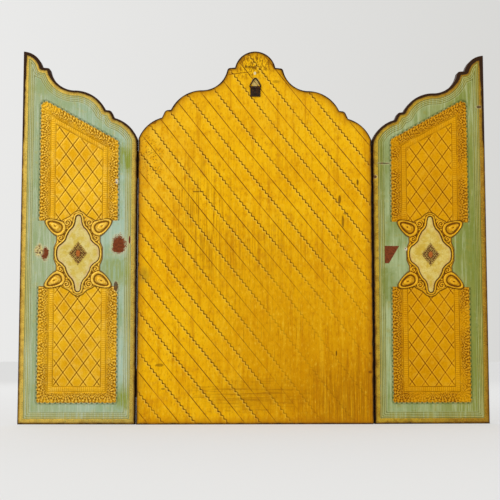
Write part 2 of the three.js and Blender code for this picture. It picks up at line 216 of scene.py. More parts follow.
def board_outline(edge, bottom, side, innermost):
    """A closed outline with straight lower corners; innermost 0 gives the whole board."""
    upper = side_of(side, innermost)
    if innermost == 0:
        lower = bowed(complex(-edge, bottom), complex(edge, bottom), 0, CURVE_STEP)
        right = bowed(complex(edge, bottom), upper[0], 0, CURVE_STEP)[:-1]
        left = [complex(-p.real, p.imag) for p in reversed(right)]
        return as_array(lower + right + upper + mirrored(upper[:-1]) + left + [complex(-edge, bottom)])
    lower = bowed(complex(innermost, bottom), complex(edge, bottom), 0, CURVE_STEP)
    right = bowed(complex(edge, bottom), upper[0], 0, CURVE_STEP)[:-1]
    left = bowed(upper[-1], complex(innermost, bottom), 0, CURVE_STEP)
    return as_array(lower + right + upper + left)


def from_middle(points):
    """A half-board's outline turned over, and measured from the wing's middle line."""
    turned = points[::-1].copy()
    turned[:, 0] = PIN_X - turned[:, 0] - WING_MIDDLE
    return turned


def inset(points, distance):
    """A closed anticlockwise outline with each corner moved in along its mitre."""
    arriving = points - np.roll(points, 1, axis=0)
    arriving /= np.linalg.norm(arriving, axis=1)[:, None]
    leaving = np.roll(arriving, -1, axis=0)
    mitre = np.stack([-arriving[:, 1] - leaving[:, 1], arriving[:, 0] + leaving[:, 0]], axis=1)
    return points + mitre * (2 * distance / (mitre**2).sum(axis=1))[:, None]


def corners_of(outline):
    """An outline without the points that lie along its straight sides."""
    arriving = outline - np.roll(outline, 1, axis=0)
    leaving = np.roll(outline, -1, axis=0) - outline
    bend = arriving[:, 0] * leaving[:, 1] - arriving[:, 1] * leaving[:, 0]
    return outline[np.abs(bend) > 1e-7]


def distance_to(outline, points, chunk=1000):
    """How far each point lies from a closed outline's nearest side."""
    x0, z0 = corners_of(outline).astype(np.float32).T
    along_x, along_z = np.roll(x0, -1) - x0, np.roll(z0, -1) - z0
    length = along_x**2 + along_z**2
    points = points.astype(np.float32)
    found = []
    for first in range(0, len(points), chunk):
        x = points[first : first + chunk, 0, None] - x0
        z = points[first : first + chunk, 1, None] - z0
        share = np.clip((x * along_x + z * along_z) / length, 0, 1)
        found.append(((x - along_x * share) ** 2 + (z - along_z * share) ** 2).min(axis=1))
    return np.sqrt(np.concatenate(found)).astype(float)


def inside(outline, points, chunk=1000):
    """Which points lie inside a closed outline."""
    x0, z0 = corners_of(outline).T
    x1, z1 = np.roll(x0, -1), np.roll(z0, -1)
    found = []
    for first in range(0, len(points), chunk):
        x = points[first : first + chunk, 0, None]
        z = points[first : first + chunk, 1, None]
        crossing = (z0 > z) != (z1 > z)
        with np.errstate(divide="ignore", invalid="ignore"):
            reach = x0 + (z - z0) * (x1 - x0) / (z1 - z0)
        found.append((crossing & (x < reach)).sum(axis=1) % 2 == 1)
    return np.concatenate(found)


def beyond(outline, points):
    """Distance outside a closed outline, less than nothing inside it."""
    return np.where(inside(outline, points), -1, 1) * distance_to(outline, points)


def inner_line(outline, distance):
    """A line that keeps a distance inside an outline, with the points that would cross left out."""
    moved = inset(outline, distance)
    return moved[distance_to(outline, moved) > distance - 0.02]


# ---- Relief ------------------------------------------------------------------------------------


def ramp(low, high, x):
    """Nothing below low, all of 1 above high, and smooth between."""
    share = np.clip((x - low) / (high - low), 0, 1)
    return share * share * (3 - 2 * share)


def groove(distance, width, depth):
    return -depth * np.clip(1 - 2 * distance / width, 0, 1)


def swing(x):
    """A zigzag of period 1 between -1 and 1."""
    return 4 * np.abs(x - np.floor(x) - 0.5) - 1


def waver(x, z, reach):
    """A slow uneven drift, as of lines ruled by hand."""
    return reach * (
        np.sin(x / 37 + z / 61 + 0.7) + 0.6 * np.sin(x / 19 - z / 43 + 2.1) + 0.35 * np.sin(z / 17 - x / 29)
    ) / 2


def score_coordinates(points):
    """Across and along the scored lines, unevenness included."""
    x, z = points[:, 0] - SCORE_POINT[0], points[:, 1] - SCORE_POINT[1]
    across = x * math.sin(SCORE_TURN) - z * math.cos(SCORE_TURN)
    along = x * math.cos(SCORE_TURN) + z * math.sin(SCORE_TURN)
    return across + waver(points[:, 0], points[:, 1], 0.9), along


def wriggle(along):
    return WRIGGLE_SWING * swing(along / WRIGGLE_LENGTH)


def score_line(across, along):
    """Plan points at the given places across and along the scored lines."""
    wanted = across.copy()
    for _ in range(4):
        x = SCORE_POINT[0] + across * math.sin(SCORE_TURN) + along * math.cos(SCORE_TURN)
        z = SCORE_POINT[1] - across * math.cos(SCORE_TURN) + along * math.sin(SCORE_TURN)
        across = wanted - waver(x, z, 0.9)
    return np.stack([x, z], axis=1)


def lace_coordinates(points, top):
    """Along and inward from the edge of the latticed fields, whose corners are rounded."""
    across, z = points.T
    side = FIELD_REACH - np.abs(across)
    below = z - LOWER_BOTTOM
    above = (top + UPPER_RISE * across - z) * math.cos(UPPER_SLANT)
    lower = z < CARTOUCHE_Z
    end = np.where(lower, below, above)
    corner = np.where(lower | (across < 0), LOWER_CORNER, UPPER_CORNER)
    short = np.maximum(corner - side, 0), np.maximum(corner - end, 0)
    rounded = corner - np.hypot(*short)
    inward = np.where((short[0] > 0) & (short[1] > 0), rounded, np.minimum(side, end))
    along = np.where(side < end, z, np.where(lower, across, across / math.cos(UPPER_SLANT)))
    return along, inward


def lace_fan(along, inward):
    """The tooled fans of the lace: 1 on a ridge, -1 in a stroke, and nothing outside the fans."""
    cell = along - LACE_PITCH * np.round(along / LACE_PITCH)
    rise = LACE_WIDTH - 0.9 - inward
    turn = np.arctan2(cell, rise)
    reach = np.hypot(cell, rise)
    kept = ramp(0.8, 1.8, reach) * ramp(-8.4, -7.6, -reach) * ramp(-1.25, -1.05, -np.abs(turn))
    fan = np.cos(14 * turn) * kept
    gap = LACE_PITCH / 2 - np.abs(cell)
    dots = np.maximum(ramp(-1, -0.4, -np.hypot(gap, inward - 6.6)), ramp(-0.8, -0.3, -np.hypot(gap, inward - 4.2)))
    return fan * (1 - dots) - dots


def star_outline():
    stretches = [(complex(STAR_HALF_WIDTH * a, STAR_HALF_HEIGHT * u), bow) for a, u, bow in STAR_QUARTER]
    upper = run(stretches, 0.5)
    right = [complex(p.real, -p.imag) for p in reversed(upper[1:])] + upper
    return as_array(right + mirrored(right[1:-1])) + [0, CARTOUCHE_Z]


def mass_outline():
    """The gilt ground that joins the star, the leaves and the scrolls, a little hooded at the top."""
    quarter = [(23, 0), (22.9, 5.5), (20.6, 11), (20.6, 16.5), (24, 20.5), (21, 27), (14.2, 32.2), (8.5, 35), (4.2, 39), (0, 40.6)]
    upper = [complex(*p) for p in quarter]
    right = [complex(p.real, -p.imag) for p in reversed(upper[1:])] + upper
    return as_array(right + mirrored(right[1:-1])) + [0, CARTOUCHE_Z]


def leaf_radius(across, up):
    """1 on the outline of the cartouche's leaf, less inside; the leaf is narrower at its tip."""
    turn = math.radians(LEAF["tilt"])
    x, z = across - LEAF["x"], up - LEAF["z"]
    long = (x * math.cos(turn) + z * math.sin(turn)) / LEAF["half_length"]
    wide = (z * math.cos(turn) - x * math.sin(turn)) / LEAF["half_width"]
    return np.hypot(long, wide * (1 + 0.42 * np.clip(long, -0.6, 1)))


LEAF_HEIGHTS = (
    (0, 0.1, 0.3, 0.44, 0.6, 0.68, 0.84, 0.93, 1),
    (0.45, 0.95, 1.05, 0.5, 0.3, 0.32, 1.15, 0.95, 0.3),
)


def lozenge_radius(points):
    return np.abs(points[:, 0]) / LOZENGE_HALF_WIDTH + np.abs(points[:, 1] - CARTOUCHE_Z) / LOZENGE_HALF_HEIGHT


def lozenge_height(points):
    """Filigree: a row of beads round the edge, small scrolls within, and a smooth heart."""
    across, up = points[:, 0], points[:, 1] - CARTOUCHE_Z
    radius = lozenge_radius(points)
    side = math.hypot(LOZENGE_HALF_WIDTH, LOZENGE_HALF_HEIGHT)
    along = np.abs(up) / LOZENGE_HALF_HEIGHT * side
    beads = 0.5 + 0.5 * np.cos(2 * np.pi * along / (side / 7))
    edge = ramp(0.78, 0.86, radius) * ramp(-1.04, -0.96, -radius)
    curls = 0.5 + 0.25 * np.cos(across * 2.6) * np.cos(up * 2.2) + 0.25 * np.sin((across + up) * 3.1)
    heart = ramp(-1.15, -0.75, -np.hypot(across / HEART[0], up / HEART[1]))
    field = ramp(-0.86, -0.78, -radius) * (0.2 + 0.5 * curls)
    return (edge * (0.45 + 0.4 * beads) + field) * (1 - heart) + heart * 0.95


def cartouche_height(points, star, mass):
    """Height of the carved cartouche above the wing's face."""
    across, up = np.abs(points[:, 0]), np.abs(points[:, 1] - CARTOUCHE_Z)
    height = 0.34 * ramp(0, 0.7, -mass)
    height += 0.1 * np.cos(1.5 * np.hypot(across - 12, up - 20)) * ramp(0.3, 1.2, -mass)
    for x, z, radius, handed in SCROLLS:
        reach = np.hypot(across - x, up - z) / radius
        turn = np.arctan2(up - z, across - x)
        ridge = 0.5 + 0.5 * np.cos(2 * np.pi * 1.7 * reach - handed * turn)
        height = np.maximum(height, (0.35 + 0.65 * ridge) * ramp(-1.1, -0.92, -reach))
    radius = leaf_radius(across, up)
    leaf = np.interp(radius, *LEAF_HEIGHTS)
    height = np.where(radius < 1, np.maximum(leaf, 0.2), height)
    height = np.where(star < STAR_BAND, 0.34 + 0 * height, height)
    band = np.sqrt(np.clip(1 - ((star - STAR_BAND / 2) / (STAR_BAND / 2)) ** 2, 0, 1))
    height = np.where((star > 0) & (star < STAR_BAND), 0.3 + 0.75 * band, height)
    cream = 0.3 + 0.3 * ramp(0, 3.5, -star)
    height = np.where(star <= 0, cream, height)
    return np.where(lozenge_radius(points) < 1.04, np.maximum(cream * 0.6, 1.05 * lozenge_height(points)), height)


# ---- Faces -------------------------------------------------------------------------------------


class Face:
    """One face of a board: its border, creases and filling points, then its triangles."""

    def __init__(self, border):
        self.points = [tuple(p) for p in border]
        self.border = border
        self.creases = []

    def crease(self, line, closed=False, margin=0.45):
        """A polyline that the triangles keep to, where it stays clear of the border."""
        clear = (distance_to(self.border, line) > margin) & inside(self.border, line)
        first = len(self.points)
        self.points += [tuple(p) if kept else self.points[0] for p, kept in zip(line, clear)]
        for i in range(len(line) if closed else len(line) - 1):
            following = (i + 1) % len(line)
            if clear[i] and clear[following]:
                self.creases.append((first + i, first + following))

    def fill(self, spacing, wanted, unevenness=0.12):
        """Staggered rows of points over the places where wanted(points) holds."""
        low, high = self.border.min(axis=0), self.border.max(axis=0)
        rows = np.arange(low[1], high[1], spacing * math.sqrt(0.75))
        columns = np.arange(low[0], high[0], spacing)
        x, z = np.meshgrid(columns, rows)
        x = x + spacing / 2 * (np.arange(len(rows)) % 2)[:, None]
        chance = np.random.default_rng(len(self.points))
        grid = np.stack([x.ravel(), z.ravel()], axis=1)
        grid += chance.uniform(-unevenness, unevenness, grid.shape) * spacing
        grid = grid[wanted(grid)]
        grid = grid[inside(self.border, grid)]
        grid = grid[distance_to(self.border, grid) > 0.5 * spacing]
        self.points += [tuple(p) for p in grid]

    def triangles(self):
        """(points, triangles, place of each border point) of the finished face."""
        border = list(range(len(self.border)))
        vectors = [Vector(p) for p in self.points]
        made = delaunay_2d_cdt(vectors, self.creases, [border], 1, 1e-5)
        place = {given: i for i, givens in enumerate(made[3]) for given in givens}
        return (
            np.array([tuple(p) for p in made[0]]),
            np.array(made[2]),
            np.array([place[i] for i in border]),
        )


def blurred(values, edges, count, passes):
    """Values smoothed over the mesh by a number of passes."""
    a, b = edges
    share = np.bincount(a, minlength=count) + np.bincount(b, minlength=count) + 1.0
    for _ in range(passes):
        total = np.bincount(a, values[b], count) + np.bincount(b, values[a], count) + values
        values = total / share
    return values


def seated(ring, depth, thickness, hinge_edges):
    """A loop of the board's edge with the hinge leaves' seats let into it."""
    if depth < thickness - SEAT_REACH:
        return ring
    moved = ring.copy()
    for low, high in HINGES:
        beside = (ring[:, 1] > low - SEAT_CLEAR) & (ring[:, 1] < high + SEAT_CLEAR)
        for edge in hinge_edges:
            floor = edge - math.copysign(SEAT_DEPTH, edge)
            outside = beside & (np.sign(edge) * ring[:, 0] > abs(floor))
            moved[outside, 0] = floor
    return moved


def board_piece(name, outline, thickness, outer, front, place, hinge_edges, flipped=False):
    """A closed board. outer and front are (Face, heights, marks); place puts plan points in the world."""
    arris = [math.radians(a) for a in (22.5, 45, 67.5, 90)]
    loops = [(ARRIS * (1 - math.sin(a)), ARRIS * (1 - math.cos(a))) for a in arris]
    depths = [(edge, depth, 1 - 0.25 * (i + 1)) for i, (edge, depth) in enumerate(loops)]
    seat = thickness - SEAT_REACH
    middle = [(0, place, 0) for place in (seat - 0.02, seat + 0.02, (seat + thickness) / 2)]
    under = [(edge, thickness - depth, -up) for edge, depth, up in reversed(depths)]
    loops = depths + middle + under

    outer_points, outer_triangles, outer_border = outer[0].triangles()
    front_points, front_triangles, front_border = front[0].triangles()
    outer_height, outer_marks = outer[1](outer_points)
    front_depth, front_marks = front[1](front_points)
    rings = [seated(inset(outline, edge), depth, thickness, hinge_edges) for edge, depth, _ in loops]

    flat = np.concatenate([outer_points, *rings, front_points])
    depth = np.concatenate(
        [-outer_height] + [np.full(len(outline), d) for _, d, _ in loops] + [thickness - front_depth]
    )
    side = np.concatenate(
        [np.ones(len(outer_points))] + [np.full(len(outline), s) for _, _, s in loops] + [-np.ones(len(front_points))]
    )
    first = len(outer_points)
    starts = [outer_border] + [first + len(outline) * i + np.arange(len(outline)) for i in range(len(rings))]
    starts.append(first + len(outline) * len(rings) + front_border)
    faces = [outer_triangles[:, ::-1], front_triangles + first + len(outline) * len(rings)]
    for near, far in zip(starts, starts[1:]):
        a, b, c, d = near, np.roll(near, -1), np.roll(far, -1), far
        faces += [np.stack([a, b, c], axis=1), np.stack([a, c, d], axis=1)]
    faces = np.concatenate(faces)
    if flipped:
        faces = faces[:, ::-1]

    mesh = bpy.data.meshes.new(name)
    world = place(flat[:, 0], flat[:, 1], depth) / 1000
    mesh.vertices.add(len(world))
    mesh.vertices.foreach_set("co", world.astype(np.float32).ravel())
    mesh.loops.add(faces.size)
    mesh.loops.foreach_set("vertex_index", faces.astype(np.int32).ravel())
    mesh.polygons.add(len(faces))
    mesh.polygons.foreach_set("loop_start", np.arange(0, faces.size, 3, dtype=np.int32))
    mesh.polygons.foreach_set("loop_total", np.full(len(faces), 3, dtype=np.int32))
    mesh.update(calc_edges=True)
    mesh.validate()
    mesh.polygons.foreach_set("use_smooth", np.ones(len(mesh.polygons), dtype=bool))
    mesh.set_sharp_from_angle(angle=math.radians(42))

    ends = np.empty(2 * len(mesh.edges), dtype=np.int32)
    mesh.edges.foreach_get("vertices", ends)
    raised = np.concatenate([outer_height, np.zeros(len(outline) * len(rings)), -front_depth])
    edges = ends[0::2], ends[1::2]
    hollow = blurred(raised, edges, len(world), 6) - raised
    rim = distance_to(outline, flat)
    floats = {"rim": rim, "side": side, "hollow": hollow}
    between = len(outline) * len(rings)
    for marks, spread in ((outer_marks, (0, between + len(front_points))), (front_marks, (first + between, 0))):
        for key, values in marks.items():
            floats[key] = np.pad(values, spread, constant_values=60)
    vectors = {"plan": (flat[:, 0], flat[:, 1], depth)}
    for key in [k for k in floats if k.endswith(("_along", "_across"))]:
        vectors.setdefault(key.rsplit("_", 1)[0], [None, None, np.zeros(len(world))])
        vectors[key.rsplit("_", 1)[0]][0 if key.endswith("_along") else 1] = floats.pop(key)
    for key, values in floats.items():
        mesh.attributes.new(key, "FLOAT", "POINT").data.foreach_set("value", values.astype(np.float32))
    for key, values in vectors.items():
        stacked = np.stack(values, axis=1).astype(np.float32)
        mesh.attributes.new(key, "FLOAT_VECTOR", "POINT").data.foreach_set("vector", stacked.ravel())

    piece = bpy.data.objects.new(name, mesh)
    bpy.context.scene.collection.objects.link(piece)
    return piece


def front_face(outline, sight):
    """The plainer front: a border round a stepped field. Returns the face and its depth function."""
    face = Face(inset(outline, ARRIS))
    for distance in (0, STEP_SLOPE, SIGHT_STEP, SIGHT_STEP + STEP_SLOPE):
        line = inner_line(sight, distance) if distance else sight
        face.crease(line, closed=True)
    face.fill(2.6, lambda p: np.ones(len(p), dtype=bool))

    def carve(points):
        within = -beyond(sight, points)
        first = np.clip(within / STEP_SLOPE, 0, 1) * SIGHT_DEPTH
        second = np.clip((within - SIGHT_STEP) / STEP_SLOPE, 0, 1) * (FIELD_DEPTH - SIGHT_DEPTH)
        return first + second, {"sight": within}

    return face, carve


# ---- Centre board ------------------------------------------------------------------------------


def centre_board():
    outline = board_outline(HALF_WIDTH, 0, CREST, 0)[:-1]
    sight = board_outline(HALF_WIDTH - BORDER, BORDER, ARCH, 0)[:-1]
    back = Face(inset(outline, ARRIS))
    reach = np.arange(-380, 380, 6.0)
    zigs = np.arange(-380, 380, WRIGGLE_LENGTH / 2)
    wide = WRIGGLE_SWING / 1.5
    for i in range(-12, 13):
        for off in (-STROKE_WIDTH / 2, 0, STROKE_WIDTH / 2):
            back.crease(score_line(np.full(len(reach), SCORE_PITCH * i + off), reach))
        for off in (-wide, 0, wide):
            back.crease(score_line(SCORE_PITCH * (i - 0.5) + wriggle(zigs) + off, zigs))
    back.fill(1.15, lambda p: np.ones(len(p), dtype=bool))

    def carve(points):
        across, along = score_coordinates(points)
        line = np.abs(across - SCORE_PITCH * np.round(across / SCORE_PITCH))
        shifted = across - SCORE_PITCH / 2
        zig = shifted - SCORE_PITCH * np.round(shifted / SCORE_PITCH) - wriggle(along)
        x, z = points.T
        worn = (1 - ramp(70, 200, z)) * (1 - ramp(-70, 30, x - 0.3 * z))
        fade = ramp(1.6, 3.4, distance_to(outline, points)) * (1 - 0.85 * worn)
        height = groove(line, STROKE_WIDTH, STROKE_DEPTH) + groove(np.abs(zig), 2 * wide, WRIGGLE_DEPTH)
        height = np.maximum(height, -STROKE_DEPTH) + 0.05 * waver(points[:, 0] * 3, points[:, 1] * 2, 1)
        return height * fade, {"score_across": across, "score_along": along}

    def place(x, z, depth):
        return np.stack([x, BACK_Y - depth, z], axis=1)

    front, front_carve = front_face(outline, sight)
    piece = board_piece(
        "centre_board_gilt", outline, PANEL_THICKNESS, (back, carve), (front, front_carve), place,
        (-HALF_WIDTH, HALF_WIDTH),
    )
    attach(piece, "centre")
    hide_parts("centre_board")
    return piece


# ---- Wings -------------------------------------------------------------------------------------


def lattice_lines(top):
    """Both families of lattice strokes, cut to the fields, as short polylines."""
    lines = []
    reach = np.linspace(-1, 1, 81)
    for lean in (1, -1):
        for i in range(-24, 24):
            across = reach * (FIELD_REACH - LATTICE_INSET)
            z = CARTOUCHE_Z + (i + 0.5) * LATTICE_HEIGHT + lean * across * LATTICE_HEIGHT / LATTICE_WIDTH
            line = np.stack([across, z], axis=1)
            _, inward = lace_coordinates(line, top)
            kept = (inward > LATTICE_INSET - 0.2) & ((z < LOWER_TOP + 9) | (z > UPPER_BOTTOM - 9))
            for piece in np.split(line, np.flatnonzero(np.diff(kept.astype(int))) + 1):
                if len(piece) > 2 and kept[np.searchsorted(across, piece[1, 0])]:
                    lines.append(piece)
    return lines


def wing(side, sign):
    free = WINGS_APART / 2
    outline = from_middle(board_outline(HALF_WIDTH, 0, CREST, free))
    sight = from_middle(board_outline(HALF_WIDTH - BORDER, BORDER, ARCH, free + BORDER))
    star_line = star_outline()
    mass_line = mass_outline()
    back = Face(inset(outline, ARRIS))
    for distance in (RIM_LINE - STROKE_WIDTH / 2, RIM_LINE, RIM_LINE + STROKE_WIDTH / 2):
        back.crease(inner_line(outline, distance), closed=True)
    for distance in RULED_LINES:
        back.crease(inner_line(outline, distance), closed=True)
    normal = np.array([LATTICE_HEIGHT, -LATTICE_WIDTH]) / math.hypot(LATTICE_HEIGHT, LATTICE_WIDTH)
    for line in lattice_lines(UPPER_TOPS[side]):
        lean = math.copysign(1, line[-1, 1] - line[0, 1])
        for off in (-STROKE_WIDTH / 2, 0, STROKE_WIDTH / 2):
            moved = line + off * normal * [1, lean]
            clear = beyond(mass_line, moved) > 0.4
            if clear.any():
                back.crease(moved[clear])
    for distance in (0, STAR_BAND / 2, STAR_BAND):
        back.crease(inset(star_line, -distance) if distance else star_line, closed=True)

    def about_cartouche(points):
        return (np.abs(points[:, 0]) < 34) & (np.abs(points[:, 1] - CARTOUCHE_Z) < 42)

    def in_lace(points):
        _, inward = lace_coordinates(points, UPPER_TOPS[side])
        z = points[:, 1]
        field = (z < LOWER_TOP + 1) | (z > UPPER_BOTTOM - 1)
        return (inward > -1.2) & (inward < LATTICE_INSET) & field & ~about_cartouche(points)

    def elsewhere(points):
        return ~in_lace(points) & ~about_cartouche(points)

    back.fill(0.5, about_cartouche)
    back.fill(0.6, in_lace)
    back.fill(1.3, elsewhere)

    def carve(points):
        rim = distance_to(outline, points)
        star = beyond(star_line, points)
        across, up = np.abs(points[:, 0]), np.abs(points[:, 1] - CARTOUCHE_Z)
        leaf = (leaf_radius(across, up) - 1) * LEAF["half_width"]
        mass = np.minimum(beyond(mass_line, points), leaf)
        along, inward = lace_coordinates(points, UPPER_TOPS[side])
        z = points[:, 1]
        field = ramp(-LOWER_TOP, 0.8 - LOWER_TOP, -z) + ramp(UPPER_BOTTOM - 0.8, UPPER_BOTTOM, z)
        height = groove(np.abs(rim - RIM_LINE), STROKE_WIDTH, STROKE_DEPTH)
        for line in RULED_LINES:
            height += groove(np.abs(rim - line), RULED_WIDTH, RULED_DEPTH)
        lace = ramp(-0.3, 0.3, inward) * ramp(-LACE_WIDTH, 0.6 - LACE_WIDTH, -inward)
        height += field * lace * (0.12 + LACE_DEPTH * (lace_fan(along, inward) * 0.5))
        ticks = 0.5 + 0.5 * np.cos(2 * np.pi * along / BEAD_PITCH)
        row = ramp(BEAD_ROW[0], BEAD_ROW[0] + 0.6, inward) * ramp(-BEAD_ROW[1], 0.6 - BEAD_ROW[1], -inward)
        height += field * row * 0.28 * ticks
        for line in BEAD_LINES:
            height += field * groove(np.abs(inward - line), 0.8, 0.3)
        for lean in (1, -1):
            turn = (z - CARTOUCHE_Z) / LATTICE_HEIGHT - lean * points[:, 0] / LATTICE_WIDTH - 0.5
            gap = np.abs(turn - np.round(turn)) / math.hypot(1 / LATTICE_HEIGHT, 1 / LATTICE_WIDTH)
            inner = ramp(LATTICE_INSET - 0.2, LATTICE_INSET + 0.3, inward)
            height = np.minimum(height, height + inner * groove(gap, STROKE_WIDTH, STROKE_DEPTH))
        carved = cartouche_height(points, star, mass)
        height = np.where((mass < 0) | (star < STAR_BAND), carved, height)
        fade = ramp(ARRIS, ARRIS + 1, rim)
        marks = {"star": star, "mass": mass, "lace_along": along, "lace_across": inward}
        return height * fade, marks

    turn = -math.radians(REST_DEGREES)

    def place(across, z, depth):
        u, v = across + WING_MIDDLE, WING_BACK - depth
        x = PIN_X + u * math.cos(turn) - v * math.sin(turn)
        y = PIN_Y + u * math.sin(turn) + v * math.cos(turn)
        return np.stack([sign * x, y, z], axis=1)

    front, front_carve = front_face(outline, sight)
    piece = board_piece(
        f"{side}_wing_painted", outline, WING_THICKNESS, (back, carve), (front, front_carve), place,
        (-WING_WIDTH / 2,), sign < 0,
    )
    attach(piece, f"{side}_wing")
    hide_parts(f"{side}_wing")
    return piece


# ---- Hanger ------------------------------------------------------------------------------------


def piece_of(name, points, faces, smooth_degrees):
    """A piece from points in millimetres and faces, shaded smooth up to an angle."""
    mesh = bpy.data.meshes.new(name)
    mesh.from_pydata([Vector(p) / 1000 for p in points], [], faces)
    mesh.validate()
    mesh.polygons.foreach_set("use_smooth", np.ones(len(mesh.polygons), dtype=bool))
    mesh.set_sharp_from_angle(angle=math.radians(smooth_degrees))
    piece = bpy.data.objects.new(name, mesh)
    bpy.context.scene.collection.objects.link(piece)
    return piece


def swept_ring(path, radius, sides):
    """Points and faces of a closed wire of round section that follows a path in the X-Z plane."""
    points, faces = [], []
    count = len(path)
    for i, here in enumerate(path):
        way = path[(i + 1) % count] - path[i - 1]
        out = way / abs(way) * -1j
        for k in range(sides):
            turn = 2 * math.pi * k / sides
            at = here + out * radius * math.cos(turn)
            points.append((at.real, RING_Y + radius * math.sin(turn), at.imag))
    for i in range(count):
        for k in range(sides):
            a, b = i * sides, (i + 1) % count * sides
            following = (k + 1) % sides
            faces.append((a + k, a + following, b + following, b + k))
    return points, faces


def rounded_triangle():
    """The ring's path: a flat base, slightly bowed sides and rounded corners."""
    base, apex = RING_HALF_BASE, RING_HEIGHT
    corners = [complex(-base, 0), complex(base, 0), complex(0, apex)]
    path = []
    for i, corner in enumerate(corners):
        before, after = corners[i - 1], corners[(i + 1) % 3]
        back = (before - corner) / abs(before - corner)
        ahead = (after - corner) / abs(after - corner)
        half = abs(math.remainder(math.atan2(ahead.imag, ahead.real) - math.atan2(back.imag, back.real), 2 * math.pi)) / 2
        cut = RING_CORNER / math.tan(half)
        start, end = corner + back * cut, corner + ahead * cut
        path.append(start)
        path += bowed(start, end, math.tan((math.pi - 2 * half) / 4) / 2, 0.25)
        bow = 0 if i == 0 else RING_BOW
        reach = abs(after - corner)
        next_half = abs(math.remainder(
            math.atan2((corners[(i + 2) % 3] - after).imag, (corners[(i + 2) % 3] - after).real)
            - math.atan2((corner - after).imag, (corner - after).real), 2 * math.pi)) / 2
        stop = corner + ahead * (reach - RING_CORNER / math.tan(next_half))
        path += bowed(end, stop, bow, 0.6)[:-1]
    return [p + 1j * RING_AXIS_Z for p in path]


def hanger():
    """The triangle ring, the iron strap whose eye holds it, and the nail through the strap."""
    ring = piece_of("hanger_ring_wire", *swept_ring(rounded_triangle(), RING_WIRE, 14), 60)
    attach(ring, "ring")
    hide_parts("hanger_ring")

    eye = [math.radians(a) for a in range(-90, 181, 15)]
    around = [(RING_Y + STRAP_EYE_RADIUS * math.cos(a), RING_AXIS_Z + STRAP_EYE_RADIUS * math.sin(a)) for a in eye]
    foot = BACK_Y + FITTED_GAP
    neck = RING_AXIS_Z - STRAP_EYE_RADIUS - 0.15
    end = RING_AXIS_Z - STRAP_DROP
    face = foot + STRAP_THICKNESS
    profile = [(foot, end + 0.12), (foot, RING_AXIS_Z)]
    profile += [(y, z) for y, z in reversed(around)][1:]
    profile += [(face + 0.25, neck), (face, neck - 0.35), (face, end + 0.22), (face - 0.2, end)]
    points, faces = [], []
    stations = [(-1, 0.93), (-0.965, 1), (0.965, 1), (1, 0.93)]
    for share, swell in stations:
        for y, z in profile:
            wide = STRAP_EYE_WIDTH if z > neck else STRAP_WIDTH
            lifted = foot + (y - foot) * swell
            points.append((share * wide / 2, lifted, z))
    count = len(profile)
    for s in range(len(stations) - 1):
        for i in range(count):
            a, b = s * count + i, s * count + (i + 1) % count
            faces.append((a, a + count, b + count, b))
    faces.append(tuple(range(count)))
    faces.append(tuple(reversed(range((len(stations) - 1) * count, len(stations) * count))))
    strap = piece_of("hanger_strap_iron", points, faces, 35)
    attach(strap, "centre")
    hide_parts("hanger_strap")

    head = face + FITTED_GAP
    dome = [(NAIL_HEAD_RADIUS * math.cos(a), head + 0.25 + (NAIL_HEAD_HEIGHT - 0.25) * math.sin(a)) for a in (0, 0.3, 0.6, 0.9, 1.2)]
    lathe = [(NAIL_SHANK_RADIUS * 0.3, head - NAIL_LENGTH), (NAIL_SHANK_RADIUS, head - NAIL_LENGTH + 1.5)]
    lathe += [(NAIL_SHANK_RADIUS, head), (NAIL_HEAD_RADIUS * 0.96, head), *dome]
    sides, points, faces = 24, [], []
    for radius, y in lathe:
        for k in range(sides):
            turn = 2 * math.pi * k / sides
            points.append((radius * math.cos(turn), y, NAIL_Z + radius * math.sin(turn)))
    for i in range(len(lathe) - 1):
        for k in range(sides):
            a, b, following = i * sides, (i + 1) * sides, (k + 1) % sides
            faces.append((a + k, b + k, b + following, a + following))
    faces.append(tuple(range(sides)))
    faces.append(tuple(reversed(range((len(lathe) - 1) * sides, len(lathe) * sides))))
    nail = piece_of("hanger_nail_iron", points, faces, 50)
    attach(nail, "centre")
    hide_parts("hanger_nail")
    return ring, strap, nail


# ---- Materials ---------------------------------------------------------------------------------


def paint(red, green, blue):
    """A linear colour from screen values between 0 and 255."""
    def linear(c):
        c /= 255
        return ((c + 0.055) / 1.055) ** 2.4 if c > 0.04 else c / 12.92
    return linear(red), linear(green), linear(blue), 1.0


class Value:
    """A socket of a material. Sums with it add Math nodes."""

    def __init__(self, recipe, socket):
        self.recipe, self.socket = recipe, socket

    def __add__(self, other):
        return self.recipe.math("ADD", self, other)

    __radd__ = __add__

    def __sub__(self, other):
        return self.recipe.math("SUBTRACT", self, other)

    def __rsub__(self, other):
        return self.recipe.math("SUBTRACT", other, self)

    def __mul__(self, other):
        return self.recipe.math("MULTIPLY", self, other)

    __rmul__ = __mul__

    def __truediv__(self, other):
        return self.recipe.math("DIVIDE", self, other)

    def __rtruediv__(self, other):
        return self.recipe.math("DIVIDE", other, self)

    def __abs__(self):
        return self.recipe.math("ABSOLUTE", self)

    def __or__(self, other):
        return self.recipe.math("MAXIMUM", self, other)

    def __and__(self, other):
        return self.recipe.math("MINIMUM", self, other)

    def rising(self, low, high):
        """Nothing below low, 1 above high, smooth between."""
        return self.recipe.node(
            "ShaderNodeMapRange",
            {"interpolation_type": "SMOOTHSTEP"},
            {"Value": self, "From Min": low, "From Max": high, "To Min": 0.0, "To Max": 1.0},
        )

    def falling(self, low, high):
        return 1 - self.rising(low, high)

    def near(self, place, half, soft):
        """1 within half of a place, fading over soft."""
        return abs(self - place).falling(half, half + soft)


